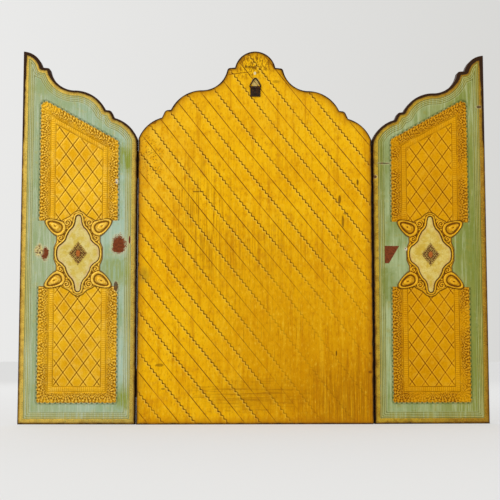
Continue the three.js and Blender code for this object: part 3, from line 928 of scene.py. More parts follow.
class Recipe:
    """A material being made, with one method that adds any node."""

    def __init__(self, name, owner=None):
        self.material = owner or bpy.data.materials.new(name)
        self.material.use_nodes = True
        self.tree = self.material.node_tree
        self.tree.nodes.clear()

    def node(self, kind, settings, inputs, output=0):
        made = self.tree.nodes.new(kind)
        for key, value in settings.items():
            setattr(made, key, value)
        for key, value in inputs.items():
            if isinstance(value, Value):
                self.tree.links.new(value.socket, made.inputs[key])
            else:
                made.inputs[key].default_value = value
        return Value(self, made.outputs[output])

    def math(self, operation, *terms):
        return self.node("ShaderNodeMath", {"operation": operation}, dict(enumerate(terms)))

    def mix(self, mask, under, over):
        """Colour under with colour over laid on it where the mask is 1."""
        return self.node("ShaderNodeMix", {"data_type": "RGBA"}, {0: mask, 6: under, 7: over}, 2)

    def multiply(self, mask, colour, tint):
        settings = {"data_type": "RGBA", "blend_type": "MULTIPLY"}
        return self.node("ShaderNodeMix", settings, {0: mask, 6: colour, 7: tint}, 2)

    def mark(self, name, output="Fac"):
        """A mark kept on the mesh."""
        return self.node("ShaderNodeAttribute", {"attribute_name": name}, {}, output)

    def parts(self, vector):
        """The three parts of a vector."""
        first = self.node("ShaderNodeSeparateXYZ", {}, {0: vector})
        return [Value(self, socket) for socket in first.socket.node.outputs]

    def stretched(self, vector, by, moved=(0, 0, 0)):
        settings = {"operation": "MULTIPLY_ADD"}
        return self.node("ShaderNodeVectorMath", settings, {0: vector, 1: by, 2: moved})

    def noise(self, vector, size, detail=3.0, roughness=0.55):
        """Uneven tone about 0.5, in patches of about the given size."""
        inputs = {"Vector": vector, "Scale": 1 / size, "Detail": detail, "Roughness": roughness}
        return self.node("ShaderNodeTexNoise", {}, inputs)

    def cells(self, vector, size):
        inputs = {"Vector": vector, "Scale": 1 / size}
        return self.node("ShaderNodeTexVoronoi", {"feature": "F1"}, inputs, "Distance")

    def finish(self, colour, roughness, metallic, height, depth, others={}):
        """Joins the finished looks to the material's surface."""
        bump = self.node("ShaderNodeBump", {}, {"Height": height, "Distance": depth, "Strength": 1.0}, "Normal")
        inputs = {"Base Color": colour, "Roughness": roughness, "Metallic": metallic, "Normal": bump}
        inputs["Specular IOR Level"] = 0.1
        inputs.update(others)
        self.end("ShaderNodeOutputMaterial", self.node("ShaderNodeBsdfPrincipled", {}, inputs))
        return self.material

    def end(self, kind, surface):
        last = self.tree.nodes.new(kind)
        self.tree.links.new(surface.socket, last.inputs["Surface"])


FLOOR_GLOW = 0.42
GILT_METAL = 0.75
DARK_BROWN = paint(52, 30, 12)
UMBER = paint(96, 58, 14)
BOLE = paint(128, 62, 28)
GESSO = paint(226, 212, 168)


def blotch(recipe, across, up, place, size, ragged, soft=0.25):
    """A ragged patch about a place: 1 inside, fading at its edge."""
    x = (across - place[0]) / size[0]
    z = (up - place[1]) / size[1]
    reach = recipe.math("SQRT", x * x + z * z)
    return (reach + ragged).falling(1 - soft, 1 + soft)


def fraction_gap(recipe, value):
    """Distance from a value to the nearest whole number."""
    return abs(recipe.math("FRACT", value + 0.5) - 0.5)


def front_looks(recipe, colour, plan, sight, hollow, gold, ground):
    """The plainer front: gilt border with a punched row, a plain painted field, and painted shade in the field's
    recesses.
    """
    front = recipe.mark("side").falling(-0.9, -0.5)
    field = sight.rising(0.2, 0.4)
    mottled = recipe.noise(plan, 22.0, 4.0)
    brushed = recipe.noise(recipe.stretched(plan, (0.9, 0.08, 1.0)), 1.5, 3.0)
    painted = recipe.mix(mottled.rising(0.3, 0.7), ground[0], ground[1])
    painted = recipe.mix(brushed.rising(0.5, 0.8) * 0.35, painted, UMBER)
    inner = sight.near(SIGHT_STEP - 1.4, 1.2, 0.3)
    made = recipe.mix(field, gold, painted)
    made = recipe.mix(inner, made, gold)
    rows = sight.near(-7.5, 0.9, 0.3) * recipe.cells(plan, 3.0).falling(0.25, 0.4)
    lines = sight.near(-4.6, 0.3, 0.25) | sight.near(-10.4, 0.3, 0.25)
    made = recipe.mix((rows | lines) * 0.75, made, UMBER)
    # Painted shade: dark brown in the recesses of the stepped sight edge.
    made = recipe.mix(hollow.rising(0.05, 0.4) * 0.6, made, DARK_BROWN)
    return recipe.mix(front, colour, made)


def edge_looks(recipe, colour, plan, rim, up, strong):
    """Dark worn arrises and sides over everything, widest on the crest and its tip."""
    wander = recipe.noise(plan, 9.0, 4.0)
    wide = recipe.noise(plan, 30.0, 3.0)
    crest = up.rising(262, 276) * (0.6 + wide * 1.4) + up.rising(312, 346) * 1.1
    reach = rim - (wander - 0.5) * 2.2 - crest * strong
    dark = reach.falling(0.7, 1.5)
    brown = reach.falling(1.2, 3.0) * (1 - dark)
    colour = recipe.mix(brown * 0.5, colour, paint(112, 66, 18))
    colour = recipe.mix(dark, colour, DARK_BROWN)
    sides = 1 - abs(recipe.mark("side")).rising(0.1, 0.8)
    rubbed = recipe.noise(recipe.stretched(plan, (1.0, 1.0, 2.0)), 5.0, 4.0).rising(0.6, 0.74)
    colour = recipe.mix(sides * rubbed * 0.35, colour, paint(150, 100, 34))
    return colour, dark


def ochre_gilding():
    """The centre board: ochre gilding with dark scored and wriggled lines, streaked and rubbed."""
    recipe = Recipe("ochre_gilding_worn")
    plan = recipe.mark("plan", "Vector")
    across, up, _ = recipe.parts(plan)
    rim, hollow = recipe.mark("rim"), recipe.mark("hollow")
    score = recipe.mark("score", "Vector")
    along_line, across_line, _ = recipe.parts(score)

    cloud = recipe.noise(plan, 60.0, 4.0)
    mottle = recipe.noise(plan, 9.0, 5.0, 0.65)
    fleck = recipe.noise(recipe.stretched(plan, (1.0, 0.45, 1.0), (5, 60, 2)), 2.2, 3.0, 0.7)
    grain = recipe.noise(recipe.stretched(plan, (1.0, 0.05, 1.0)), 1.3, 4.0, 0.65)
    brush = recipe.noise(recipe.stretched(plan, (1.0, 0.06, 1.0), (40, 7, 3)), 4.5, 4.0, 0.65)

    gold = recipe.mix(cloud.rising(0.35, 0.65), paint(248, 192, 10), paint(238, 176, 6))
    gold = recipe.mix(mottle.rising(0.45, 0.7) * 0.6, gold, paint(250, 198, 26))
    gold = recipe.mix(mottle.falling(0.3, 0.48) * 0.55, gold, paint(214, 150, 26))
    low = up.falling(40, 215) * (across - up * 0.3).falling(-60, 55)
    gold = recipe.mix(low * 0.8, gold, paint(212, 148, 4))
    corner = across.rising(40, 100) * up.rising(150, 250)
    gold = recipe.mix(corner * mottle.rising(0.35, 0.6) * 0.45, gold, paint(244, 200, 62))
    gold = recipe.mix(up.rising(215, 330) * 0.35, gold, paint(242, 186, 26))
    gold = recipe.mix(brush.rising(0.5, 0.72) * 0.5, gold, paint(196, 124, 8))
    gold = recipe.mix(brush.falling(0.3, 0.48) * 0.35, gold, paint(250, 202, 40))
    gold = recipe.mix(fleck.rising(0.52, 0.72) * 0.55, gold, paint(186, 116, 10))
    gold = recipe.mix(fleck.falling(0.28, 0.46) * 0.45, gold, paint(254, 212, 60))
    gold = recipe.mix(grain.rising(0.54, 0.78) * (0.35 + low * 0.4), gold, paint(150, 88, 8))

    # Brown fibres left of the middle, and rubbed bands near the foot.
    fibres = recipe.noise(recipe.stretched(plan, (1.0, 0.03, 1.0), (9, 2, 6)), 1.5, 4.0, 0.65)
    streaks = blotch(recipe, across, up, (50, 196), (24, 52), (mottle - 0.5) * 1.6, 0.7)
    gold = recipe.mix(streaks * fibres.rising(0.46, 0.64) * 0.6, gold, paint(158, 96, 10))
    middle = blotch(recipe, across, up, (2, 165), (48, 28), (cloud - 0.5) * 2.4, 0.7)
    gold = recipe.mix(middle * fibres.rising(0.42, 0.62) * 0.4, gold, paint(176, 108, 10))
    rubs = recipe.noise(recipe.stretched(plan, (0.04, 1.0, 1.0), (3, 8, 1)), 1.5, 4.0, 0.65)
    foot = blotch(recipe, across, up, (6, 27), (44, 13), (mottle - 0.5) * 1.4, 0.6)
    gold = recipe.mix(foot * (0.25 + 0.75 * rubs.rising(0.46, 0.66)) * 0.75, gold, paint(160, 102, 10))
    corner_foot = blotch(recipe, across, up, (-96, 22), (46, 34), (mottle - 0.5) * 1.6, 0.7)
    gold = recipe.mix(corner_foot * fibres.rising(0.36, 0.6) * 0.6, gold, paint(158, 98, 8))
    gold = recipe.mix(up.near(218.4, 0.35, 0.4) * across.near(54, 4.5, 1.0) * 0.7, gold, UMBER)
    stipple = recipe.cells(plan, 1.7).falling(0.2, 0.36) * blotch(
        recipe, across, up, (101, 252), (12, 20), (mottle - 0.5) * 1.4, 0.6)
    gold = recipe.mix(stipple * 0.75, gold, paint(92, 62, 12))

    # Scored lines, then the wriggled ones halfway between them. They fade towards the foot's far side.
    turn = across_line / SCORE_PITCH
    pressed = recipe.noise(score, 26.0, 3.0)
    kept = 1 - (up.falling(70, 200) * (across - up * 0.3).falling(-70, 30)) * 0.97
    faded = kept * pressed.rising(0.25, 0.5)
    line = fraction_gap(recipe, turn) * SCORE_PITCH
    fine = line.falling(0.2, 0.6) * (0.35 + 0.65 * pressed.rising(0.35, 0.6))
    gold = recipe.mix(fine * (0.1 * kept + 0.75 * faded), gold, paint(136, 82, 6))
    zig = abs(recipe.math("FRACT", along_line / WRIGGLE_LENGTH) - 0.5) * 4 - 1
    centred = (recipe.math("FRACT", turn) - 0.5) * SCORE_PITCH
    stroke = centred - zig * WRIGGLE_SWING
    wriggled = abs(stroke).falling(0.3, 0.85)
    heavy = 0.6 + 0.4 * zig.rising(-0.4, 0.5)
    gold = recipe.mix(wriggled * heavy * (0.22 + 0.78 * faded), gold, paint(84, 46, 4))
    gold = recipe.mix(abs(stroke - 1.15).falling(0.2, 0.6) * faded * 0.5, gold, paint(255, 214, 84))

    # Knocks, chips and smudges.
    rough = (mottle - 0.5) * 1.5
    cap = blotch(recipe, across, up, (2, 342), (25, 11), (mottle - 0.5) * 1.2, 0.5)
    gold = recipe.mix(cap * fleck.rising(0.46, 0.6) * 0.75, gold, paint(112, 66, 16))
    marks = (
        ((97, 285), (3.2, 2.0), 0.8), ((-80, 212), (1.2, 4.0), 0.7), ((-83, 190), (1.0, 5.5), 0.6),
        ((-86, 198), (2.4, 1.0), 0.5), ((-78, 176), (1.0, 2.6), 0.5),
        ((-108, 48.6), (1.8, 1.2), 0.8), ((-108, 66), (1.4, 1.0), 0.7), ((-97.3, 228), (1.2, 3.2), 0.8),
        ((-76, 66), (0.7, 2.4), 0.8), ((90, 55), (4.2, 1.4), 0.5), ((86, 33), (2.4, 1.0), 0.5),
        ((6, 339), (5.0, 1.4), 0.5), ((13, 346), (3.2, 1.6), 0.5),
        ((-20, 325), (3.5, 1.6), 0.35), ((30, 330), (1.2, 1.0), 0.8),
    )
    for place, size, strength in marks:
        gold = recipe.mix(blotch(recipe, across, up, place, size, rough) * strength, gold, paint(92, 50, 14))
    crack = (up - 331.5 + (across - 25) * 0.14 + (mottle - 0.5) * 1.4)
    gold = recipe.mix(crack.near(0, 0.22, 0.3) * across.near(15, 10, 1.5) * 0.8, gold, paint(110, 58, 12))
    smudge = blotch(recipe, across, up, (104.8, 139.5), (5, 7), rough, 0.6)
    gold = recipe.mix(smudge * 0.4, gold, paint(134, 120, 40))
    inside_ring = blotch(recipe, across, up, (0, 324), (3.6, 4.2), rough * 0.4)
    gold = recipe.mix(inside_ring * 0.8, gold, paint(206, 186, 124))
    chip = blotch(recipe, across, up, (0.4, 333), (1.1, 1.5), rough * 0.4)
    gold = recipe.mix(chip, gold, GESSO)
    near_rim = (rim - (mottle - 0.5) * 8).falling(1.5, 9)
    gold = recipe.mix(near_rim * 0.45, gold, paint(176, 110, 14))
    # Painted shade darkens the hollows of the scored and wriggled lines, and a painted highlight lightens the raised
    # ground beside them.
    gold = recipe.mix(hollow.rising(0.04, 0.2) * 0.35, gold, UMBER)
    gold = recipe.mix(hollow.falling(-0.1, -0.02) * 0.25, gold, paint(250, 206, 84))

    plain = recipe.mix(mottle.rising(0.35, 0.7), paint(232, 176, 28), paint(206, 146, 16))
    ground = (paint(214, 168, 70), paint(196, 146, 50))
    colour = front_looks(recipe, gold, plan, recipe.mark("sight"), hollow, plain, ground)
    colour, dark = edge_looks(recipe, colour, plan, rim, up, 0.25)
    roughness = 0.44 + mottle * 0.16 + dark * 0.12 + grain * 0.08
    height = grain * 0.4 + mottle * 0.3 + fleck * 0.3
    return recipe.finish(colour, roughness, (1 - dark) * GILT_METAL, height, 0.0002)


def painted_gilding(side, tones, losses, stains, wedge, shift):
    """A wing: gilt rim, blue-green ground, laced and latticed fields, and the cream cartouche."""
    recipe = Recipe(f"painted_gilding_{side}")
    plan = recipe.mark("plan", "Vector")
    across, up, _ = recipe.parts(plan)
    rim, hollow = recipe.mark("rim"), recipe.mark("hollow")
    star, mass = recipe.mark("star"), recipe.mark("mass")
    along, inward, _ = recipe.parts(recipe.mark("lace", "Vector"))
    moved = recipe.stretched(plan, (1.0, 1.0, 1.0), shift)

    cloud = recipe.noise(moved, 40.0, 4.0)
    mottle = recipe.noise(moved, 7.0, 5.0, 0.65)
    speck = recipe.noise(moved, 1.7, 3.0, 0.65)
    fine = recipe.noise(moved, 1.0, 2.0, 0.7)
    brush = recipe.noise(recipe.stretched(moved, (1.0, 0.05, 1.0)), 1.9, 4.0, 0.65)
    free = across.rising(-40, 40)

    gold = recipe.mix(cloud.rising(0.35, 0.65), tones["gold"], tones["gold_deep"])
    gold = recipe.mix(mottle.rising(0.48, 0.72) * 0.55, gold, tones["gold_light"])
    gold = recipe.mix(brush.rising(0.52, 0.78) * 0.35, gold, tones["gold_brown"])
    gold = recipe.mix(speck.falling(0.3, 0.46) * 0.4, gold, tones["gold_brown"])
    gold = recipe.mix(speck.rising(0.56, 0.72) * 0.3, gold, tones["gold_light"])

    # Blue-green ground, greener by the free edge, with a streaked margin along the rim.
    teal = recipe.mix(free, tones["teal"], tones["teal_free"])
    teal = recipe.mix(cloud.rising(0.42, 0.7) * 0.7, teal, tones["teal_green"])
    teal = recipe.mix(mottle.rising(0.52, 0.7) * 0.45, teal, tones["margin"])
    teal = recipe.mix(brush.rising(0.5, 0.64) * 0.55, teal, tones["teal_pale"])
    teal = recipe.mix(brush.falling(0.34, 0.47) * 0.55, teal, tones["teal_green"])
    fringe = recipe.noise(recipe.stretched(moved, (1.0, 0.012, 1.0), (4, 1, 8)), 1.1, 3.0, 0.65)
    margin = (rim + (mottle - 0.5) * 2.4).falling(9.4, 12.6)
    teal = recipe.mix(margin * (0.25 + 0.5 * fringe.rising(0.42, 0.55)), teal, tones["margin"])
    teal = recipe.mix(margin * fringe.falling(0.38, 0.46) * 0.5, teal, tones["teal_pale"])
    drawn = recipe.noise(moved, 18.0, 3.0).rising(0.36, 0.56)
    for line in RULED_LINES:
        ruled = (rim + (mottle - 0.5) * 0.5).near(line, 0.1, 0.3)
        teal = recipe.mix(ruled * (0.3 + 0.5 * drawn), teal, tones["ruled"])
        teal = recipe.mix(rim.near(line + 0.7, 0.15, 0.35) * 0.35, teal, tones["teal_pale"])
    teal = recipe.mix(fine.falling(0.26, 0.38) * 0.6, teal, paint(66, 84, 52))
    teal = recipe.mix(fine.rising(0.66, 0.76) * 0.4, teal, paint(206, 206, 150))
    for place, size, strength in stains:
        patch = blotch(recipe, across, up, place, size, (mottle - 0.5) * 2.2, 0.6)
        teal = recipe.mix(patch * strength * brush.rising(0.34, 0.56), teal, tones["stain"])

    # Gilt rim.
    rim_gold = recipe.mix(free, tones["rim"], tones["rim_free"])
    rim_gold = recipe.mix(mottle.rising(0.44, 0.62) * 0.6, rim_gold, tones["rim_deep"])
    rim_gold = recipe.mix(fringe.rising(0.5, 0.62) * 0.5, rim_gold, tones["margin"])
    rim_gold = recipe.mix(fine.rising(0.52, 0.66) * 0.5, rim_gold, tones["gold_light"])
    rim_gold = recipe.mix(fine.falling(0.32, 0.44) * 0.6, rim_gold, tones["stroke"])
    rim_mask = (rim + (mottle - 0.5) * 1.1).falling(4.9, 5.6)
    colour = recipe.mix(rim_mask, teal, rim_gold)
    colour = recipe.mix(rim.near(5.85, 0.15, 0.35) * (0.25 + drawn * 0.5), colour, tones["ruled"])
    colour = recipe.mix(rim.near(6.5, 0.15, 0.35) * 0.4, colour, paint(226, 206, 128))

    # Latticed fields with a scalloped edge, ringed by a painted shadow, darkest at the tips, that makes it look
    # pierced.
    tips = abs(recipe.math("SINE", along * (math.pi / LACE_PITCH * 2)))
    edge = inward + tips * SCALLOP - 0.9 + (fine - 0.5) * 2.4
    ends = up.falling(LOWER_TOP - 0.4, LOWER_TOP + 0.2) | up.rising(UPPER_BOTTOM - 0.2, UPPER_BOTTOM + 0.4)
    field = edge.rising(-0.15, 0.25) * ends
    shade = edge.near(-0.9, 0.5, 1.0) * ends
    colour = recipe.mix(shade * (0.35 + 0.5 * tips.falling(0.3, 0.7)), colour, tones["shade"])
    colour = recipe.mix(field, colour, gold)

    # Fans of the lace, then the beads between two lines.
    cell = (recipe.math("FRACT", along / LACE_PITCH + 0.5) - 0.5) * LACE_PITCH
    rise = (LACE_WIDTH - 0.9) - inward
    fan_turn = recipe.math("ARCTAN2", cell, rise)
    fan_reach = recipe.math("SQRT", cell * cell + rise * rise)
    spread = fan_reach.rising(0.6, 1.5) * fan_reach.falling(8.2, 9.6) * abs(fan_turn).falling(1.1, 1.4)
    rings = recipe.math("COSINE", fan_reach * 2.6)
    fan = (recipe.math("COSINE", fan_turn * 14) * 0.65 + rings * 0.35) * spread
    lace = inward.falling(LACE_WIDTH - 0.6, LACE_WIDTH + 0.2) * field
    busy = (fan + (fine - 0.5) * 5.0) * lace
    colour = recipe.mix(lace * 0.4, colour, tones["gold_brown"])
    colour = recipe.mix((0 - busy).rising(-0.1, 0.6) * 0.95, colour, tones["stroke"])
    # Painted highlights on the fans' ridges and on bright specks of the lace.
    colour = recipe.mix(busy.rising(0.25, 0.95) * 0.75, colour, tones["lace_highlight"])
    worn = recipe.noise(moved, 26.0, 3.0).rising(0.5, 0.66)
    colour = recipe.mix(lace * worn * 0.55, colour, gold)
    beads = recipe.math("COSINE", along * (2 * math.pi / BEAD_PITCH))
    row = inward.near(sum(BEAD_ROW) / 2, (BEAD_ROW[1] - BEAD_ROW[0]) / 2, 0.4) * field
    colour = recipe.mix(row * beads.falling(-0.8, 0.1) * 0.35, colour, tones["gold_brown"])
    colour = recipe.mix(row * beads.rising(0.4, 0.9) * 0.25, colour, tones["gold_light"])
    for line in BEAD_LINES:
        colour = recipe.mix(inward.near(line, 0.2, 0.4) * field * (0.2 + drawn * 0.4), colour, tones["stroke"])

    # Lattice.
    lattice_zone = inward.rising(LATTICE_INSET - 0.3, LATTICE_INSET + 0.4) * field
    spread = 1 / math.hypot(1 / LATTICE_HEIGHT, 1 / LATTICE_WIDTH)
    pressed = recipe.noise(moved, 15.0, 3.0).rising(0.34, 0.6)
    for lean in (1, -1):
        turn = (up - CARTOUCHE_Z) / LATTICE_HEIGHT - across * (lean / LATTICE_WIDTH) - 0.5
        gap = fraction_gap(recipe, turn + (mottle - 0.5) * 0.04) * spread
        stroke = gap.falling(0.2, 0.8) * lattice_zone
        colour = recipe.mix(stroke * (0.4 + 0.5 * pressed), colour, tones["lattice"])
        colour = recipe.mix((gap - 1.1).near(0, 0.15, 0.5) * lattice_zone * 0.35, colour, tones["gold_light"])

    # Cartouche: gilt ground, moulding, cream star and lozenge.
    ground = recipe.mix(speck.rising(0.35, 0.65), tones["gold_light"], tones["gold_deep"])
    # Painted shade in the cartouche ground's hollows, and a painted highlight on its ridges.
    ground = recipe.mix(hollow.rising(-0.02, 0.12), ground, tones["stroke"])
    ground = recipe.mix(hollow.falling(-0.16, -0.03) * 0.5, ground, tones["gold_light"])
    ground = recipe.mix(fine.falling(0.34, 0.46) * 0.5, ground, tones["gold_brown"])
    colour = recipe.mix(mass.falling(-0.2, 0.1), colour, ground)
    wander = (mottle - 0.5) * 0.7 + (fine - 0.5) * 0.5
    outline = (mass + wander).near(0, 0.34, 0.5)
    colour = recipe.mix(outline * 0.8, colour, tones["outline"])
    moulding = star.falling(STAR_BAND - 0.2, STAR_BAND + 0.1)
    band = recipe.mix(speck.rising(0.4, 0.7) * 0.6, tones["gold_light"], tones["gold_deep"])
    band = recipe.mix(fine.falling(0.32, 0.46) * 0.5, band, tones["stroke"])
    colour = recipe.mix(moulding, colour, band)
    colour = recipe.mix((star + wander).near(STAR_BAND, 0.2, 0.45) * 0.6, colour, tones["outline"])
    cream = recipe.mix(mottle.rising(0.38, 0.62), tones["cream"], tones["cream_yellow"])
    cream = recipe.mix(star.rising(-3.6, -0.8) * mottle.rising(0.35, 0.6) * 0.6, cream, tones["cream_pink"])
    cream = recipe.mix(fine.rising(0.54, 0.7) * 0.5, cream, paint(186, 152, 62))
    cream = recipe.mix(speck.falling(0.3, 0.42) * 0.4, cream, paint(172, 148, 70))
    colour = recipe.mix(star.falling(-0.25, 0.15), colour, cream)
    colour = recipe.mix((star + wander).near(0.1, 0.4, 0.45) * 0.95, colour, paint(92, 58, 14))
    height = up - CARTOUCHE_Z
    radius = abs(across) / LOZENGE_HALF_WIDTH + abs(height) / LOZENGE_HALF_HEIGHT
    # The lozenge's filigree, with painted shade in the hollows of its relief.
    filigree = recipe.mix(hollow.rising(-0.1, 0.06), paint(196, 156, 70), paint(70, 44, 18))
    filigree = recipe.mix(fine.rising(0.5, 0.6) * 0.8, filigree, paint(104, 62, 24))
    filigree = recipe.mix(fine.falling(0.36, 0.44) * 0.6, filigree, paint(214, 186, 100))
    colour = recipe.mix((radius + (fine - 0.5) * 0.5).falling(0.94, 1.04), colour, filigree)
    heart_reach = recipe.math("SQRT", (across / HEART[0]) * (across / HEART[0]) + (height / HEART[1]) * (height / HEART[1]))
    heart = (heart_reach + (fine - 0.5) * 1.8).falling(0.7, 1.3)
    colour = recipe.mix(heart * 0.85, colour, paint(178, 88, 30))

    # Losses down to the bole and the gesso.
    ragged = (mottle - 0.5) * 1.3 + (fine - 0.5) * 1.1
    for place, size, tone, strength in losses:
        patch = blotch(recipe, across, up, place, size, ragged, 0.12)
        rubbed = recipe.mix(speck.rising(0.4, 0.65), tone, paint(98, 46, 20))
        lip = blotch(recipe, across, up, place, (size[0] * 1.16 + 0.4, size[1] * 1.12 + 0.4), ragged, 0.15)
        colour = recipe.mix(lip * strength * 0.5, colour, paint(214, 200, 150))
        colour = recipe.mix(patch * strength, colour, rubbed)
    if wedge:
        hinge_edge, top, foot, slope, reach = wedge
        sides = (across - hinge_edge) & (top - up) & (up - foot) & (reach - across - (top - up) * slope)
        flake = (sides + (fine - 0.5) * 0.9).rising(-0.2, 0.4)
        colour = recipe.mix(flake, colour, recipe.mix(speck.rising(0.4, 0.65), BOLE, paint(98, 46, 20)))
    near_rim = (rim - (mottle - 0.5) * 3).falling(1.0, 3.0)
    colour = recipe.mix(near_rim * 0.35, colour, paint(110, 78, 26))

    plain = recipe.mix(mottle.rising(0.35, 0.7), tones["gold"], tones["gold_deep"])
    fields = (paint(150, 172, 146), paint(136, 158, 122))
    colour = front_looks(recipe, colour, plan, recipe.mark("sight"), hollow, plain, fields)
    colour, dark = edge_looks(recipe, colour, plan, rim, up, tones["edge"])
    gilded = (rim_mask | field) | mass.falling(-0.2, 0.1)
    roughness = 0.5 + mottle * 0.14 - gilded * 0.06 + dark * 0.1
    metallic = gilded * (1 - dark) * star.rising(-0.3, 0.2) * GILT_METAL
    bump = brush * 0.3 + fine * 0.4 + mottle * 0.3
    return recipe.finish(colour, roughness, metallic, bump, 0.0002)


def dark_iron():
    """Browned iron with a little rust and rubbed high spots."""
    recipe = Recipe("dark_iron_browned")
    place = recipe.node("ShaderNodeTexCoord", {}, {}, "Object")
    rust = recipe.noise(place, 0.0022, 5.0, 0.65)
    pits = recipe.noise(place, 0.0006, 4.0, 0.6)
    colour = recipe.mix(rust.rising(0.42, 0.66), paint(46, 36, 30), paint(84, 52, 30))
    colour = recipe.mix(pits.rising(0.58, 0.72) * 0.5, colour, paint(120, 104, 88))
    return recipe.finish(colour, 0.42 + rust * 0.3, 0.75 - rust * 0.5, pits, 0.00005)


def aged_brass():
    """Tarnished brass, browner in patches."""
    recipe = Recipe("aged_brass_tarnished")
    place = recipe.node("ShaderNodeTexCoord", {}, {}, "Object")
    patch = recipe.noise(place, 0.004, 5.0, 0.6)
    fine = recipe.noise(place, 0.0007, 4.0, 0.6)
    colour = recipe.mix(patch.rising(0.35, 0.65), paint(150, 118, 58), paint(84, 62, 30))
    colour = recipe.mix(fine.rising(0.6, 0.75) * 0.5, colour, paint(60, 66, 44))
    return recipe.finish(colour, 0.36 + patch * 0.25, 0.9 - fine * 0.3, fine, 0.00004)


def pale_floor():
    recipe = Recipe("pale_floor")
    place = recipe.node("ShaderNodeTexCoord", {}, {}, "Object")
    cloud = recipe.noise(place, 0.8, 2.0)
    colour = recipe.mix(cloud, (0.36, 0.36, 0.36, 1), (0.38, 0.38, 0.38, 1))
    glow = {"Emission Color": (1, 1, 0.99, 1), "Emission Strength": FLOOR_GLOW}
    return recipe.finish(colour, 0.95, 0.0, cloud, 0.0001, glow)


def surround(world):
    """An even pale surround, brighter towards the key light."""
    recipe = Recipe("surround", world)
    direction = recipe.node("ShaderNodeTexCoord", {}, {}, "Generated")
    across, _, _ = recipe.parts(direction)
    towards = across.rising(-1.0, 1.0)
    colour = recipe.mix(towards, (0.56, 0.555, 0.53, 1), (0.975, 0.975, 0.975, 1))
    shade = recipe.node("ShaderNodeBackground", {}, {"Color": colour, "Strength": 1.0})
    recipe.end("ShaderNodeOutputWorld", shade)


RIGHT_TONES = {
    "gold": paint(244, 190, 30), "gold_deep": paint(230, 170, 16), "gold_light": paint(255, 214, 92),
    "gold_brown": paint(182, 124, 20), "stroke": paint(122, 80, 16), "lattice": paint(150, 102, 10),
    "lace_highlight": paint(250, 212, 96), "outline": paint(106, 70, 14), "shade": paint(82, 92, 48),
    "rim": paint(196, 170, 78), "rim_free": paint(222, 188, 84), "rim_deep": paint(172, 138, 56),
    "teal": paint(172, 198, 176), "teal_free": paint(166, 182, 140), "teal_green": paint(146, 168, 112),
    "teal_pale": paint(200, 210, 184), "margin": paint(182, 176, 92), "ruled": paint(118, 122, 66),
    "stain": paint(138, 150, 34), "cream": paint(226, 208, 132), "cream_yellow": paint(214, 188, 84),
    "cream_pink": paint(232, 198, 158), "edge": 0.9,
}
LEFT_TONES = {
    "gold": paint(232, 168, 4), "gold_deep": paint(220, 154, 2), "gold_light": paint(240, 186, 44),
    "gold_brown": paint(168, 100, 8), "stroke": paint(112, 66, 8), "lattice": paint(158, 98, 4),
    "lace_highlight": paint(228, 172, 48), "outline": paint(98, 58, 8), "shade": paint(74, 82, 28),
    "rim": paint(206, 170, 56), "rim_free": paint(170, 130, 42), "rim_deep": paint(140, 98, 26),
    "teal": paint(168, 184, 134), "teal_free": paint(146, 152, 76), "teal_green": paint(122, 138, 58),
    "teal_pale": paint(190, 200, 150), "margin": paint(160, 150, 52), "ruled": paint(92, 94, 34),
    "stain": paint(112, 126, 30), "cream": paint(226, 204, 116), "cream_yellow": paint(208, 174, 62),
    "cream_pink": paint(224, 186, 122), "edge": 1.2,
}
RIGHT_LOSSES = (
    ((-38.2, 167.8), (6.6, 8.6), BOLE, 1.0), ((31.4, 159.7), (3.6, 6.2), BOLE, 1.0),
    ((37, 163), (4.0, 5.0), paint(222, 204, 130), 0.9), ((36, 160.5), (0.8, 1.2), DARK_BROWN, 0.9),
    ((-48.4, 173), (0.9, 3.8), BOLE, 1.0), ((-35.8, 129), (2.0, 4.4), DARK_BROWN, 0.85),
    ((-35.7, 228), (1.1, 2.0), paint(240, 236, 214), 1.0),
)
LEFT_LOSSES = (
    ((-23.8, 165), (1.0, 1.4), paint(240, 236, 214), 1.0), ((-52.7, 234), (1.6, 1.4), DARK_BROWN, 0.9),
    ((49.8, 303.5), (2.2, 1.4), DARK_BROWN, 0.8), ((-44.5, 247), (5.6, 0.8), paint(50, 66, 20), 0.8),
)
WEDGE_LOSS = (-44.2, 167.8, 151, 0.61, -29.9)
RIGHT_STAINS = (
    ((-44, 251), (9, 13), 0.9), ((-35, 142), (14, 13), 0.7), ((-44, 24), (7, 9), 0.9), ((34, 318), (12, 6), 0.4),
)
LEFT_STAINS = (
    ((-46, 240), (6, 30), 0.6), ((-42, 130), (9, 18), 0.7), ((44, 150), (8, 60), 0.6), ((40, 60), (10, 30), 0.5),
)

# ---- Assembly ----------------------------------------------------------------------------------


def wear(piece, material):
    piece.data.materials.clear()
    piece.data.materials.append(material)


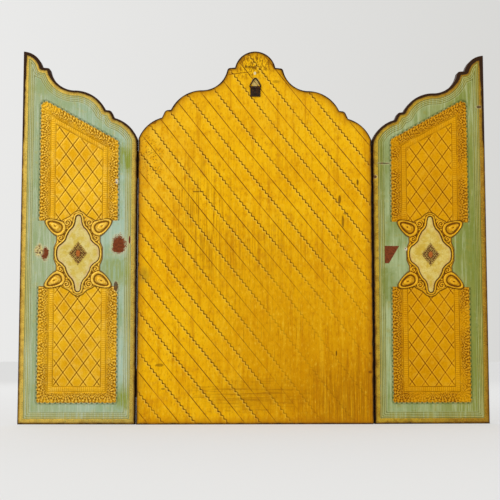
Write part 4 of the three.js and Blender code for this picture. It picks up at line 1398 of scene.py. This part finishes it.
def build():
    wear(centre_board(), ochre_gilding())
    right = painted_gilding("right", RIGHT_TONES, RIGHT_LOSSES, RIGHT_STAINS, None, (0, 0, 0))
    left = painted_gilding("left", LEFT_TONES, LEFT_LOSSES, LEFT_STAINS, WEDGE_LOSS, (310, 77, 41))
    wear(wing("right", 1), right)
    wear(wing("left", -1), left)
    iron, brass = dark_iron(), aged_brass()
    for piece in hanger():
        wear(piece, iron)
    for name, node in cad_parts.items():
        if "hinge" in name:
            wear(node, brass)


def light(name, place, target, size, power, colour):
    lamp = bpy.data.lights.new(name, "AREA")
    lamp.shape, lamp.size, lamp.energy, lamp.color = "DISK", size, power, colour
    holder = bpy.data.objects.new(name, lamp)
    holder.location = place
    holder.rotation_euler = (Vector(target) - Vector(place)).to_track_quat("-Z", "Y").to_euler()
    bpy.context.scene.collection.objects.link(holder)


def studio():
    """A wide pale floor, a bright even surround, soft lights and the camera."""
    mesh = bpy.data.meshes.new("floor")
    reach = 40
    mesh.from_pydata([(-reach, -reach, 0), (reach, -reach, 0), (reach, reach, 0), (-reach, reach, 0)], [], [(0, 1, 2, 3)])
    floor = bpy.data.objects.new("floor", mesh)
    bpy.context.scene.collection.objects.link(floor)
    wear(floor, pale_floor())

    world = bpy.data.worlds.new("surround")
    bpy.context.scene.world = world
    surround(world)

    light("key", (1.1, 1.5, 1.3), (0, 0, 0.18), 0.9, 9, (1, 0.985, 0.96))
    light("fill", (-1.3, 1.6, 0.9), (0, 0, 0.18), 1.1, 4, (0.97, 0.985, 1))
    light("front", (0.3, -1.6, 1.2), (0, 0, 0.18), 1.2, 6, (1, 1, 1))

    lens = bpy.data.cameras.new("camera")
    lens.lens = 85
    lens.clip_start, lens.clip_end = 0.01, 100
    camera = bpy.data.objects.new("camera", lens)
    camera.location = (0.0442, 1.1143, 0.0598)
    pitch, yaw = math.radians(5.32), math.radians(-2.02)
    ahead = Vector((math.sin(yaw) * math.cos(pitch), -math.cos(yaw) * math.cos(pitch), math.sin(pitch)))
    camera.rotation_euler = ahead.to_track_quat("-Z", "Y").to_euler()
    bpy.context.scene.collection.objects.link(camera)
    bpy.context.scene.camera = camera
    bpy.context.scene.view_settings.view_transform = "Standard"


build()
studio()
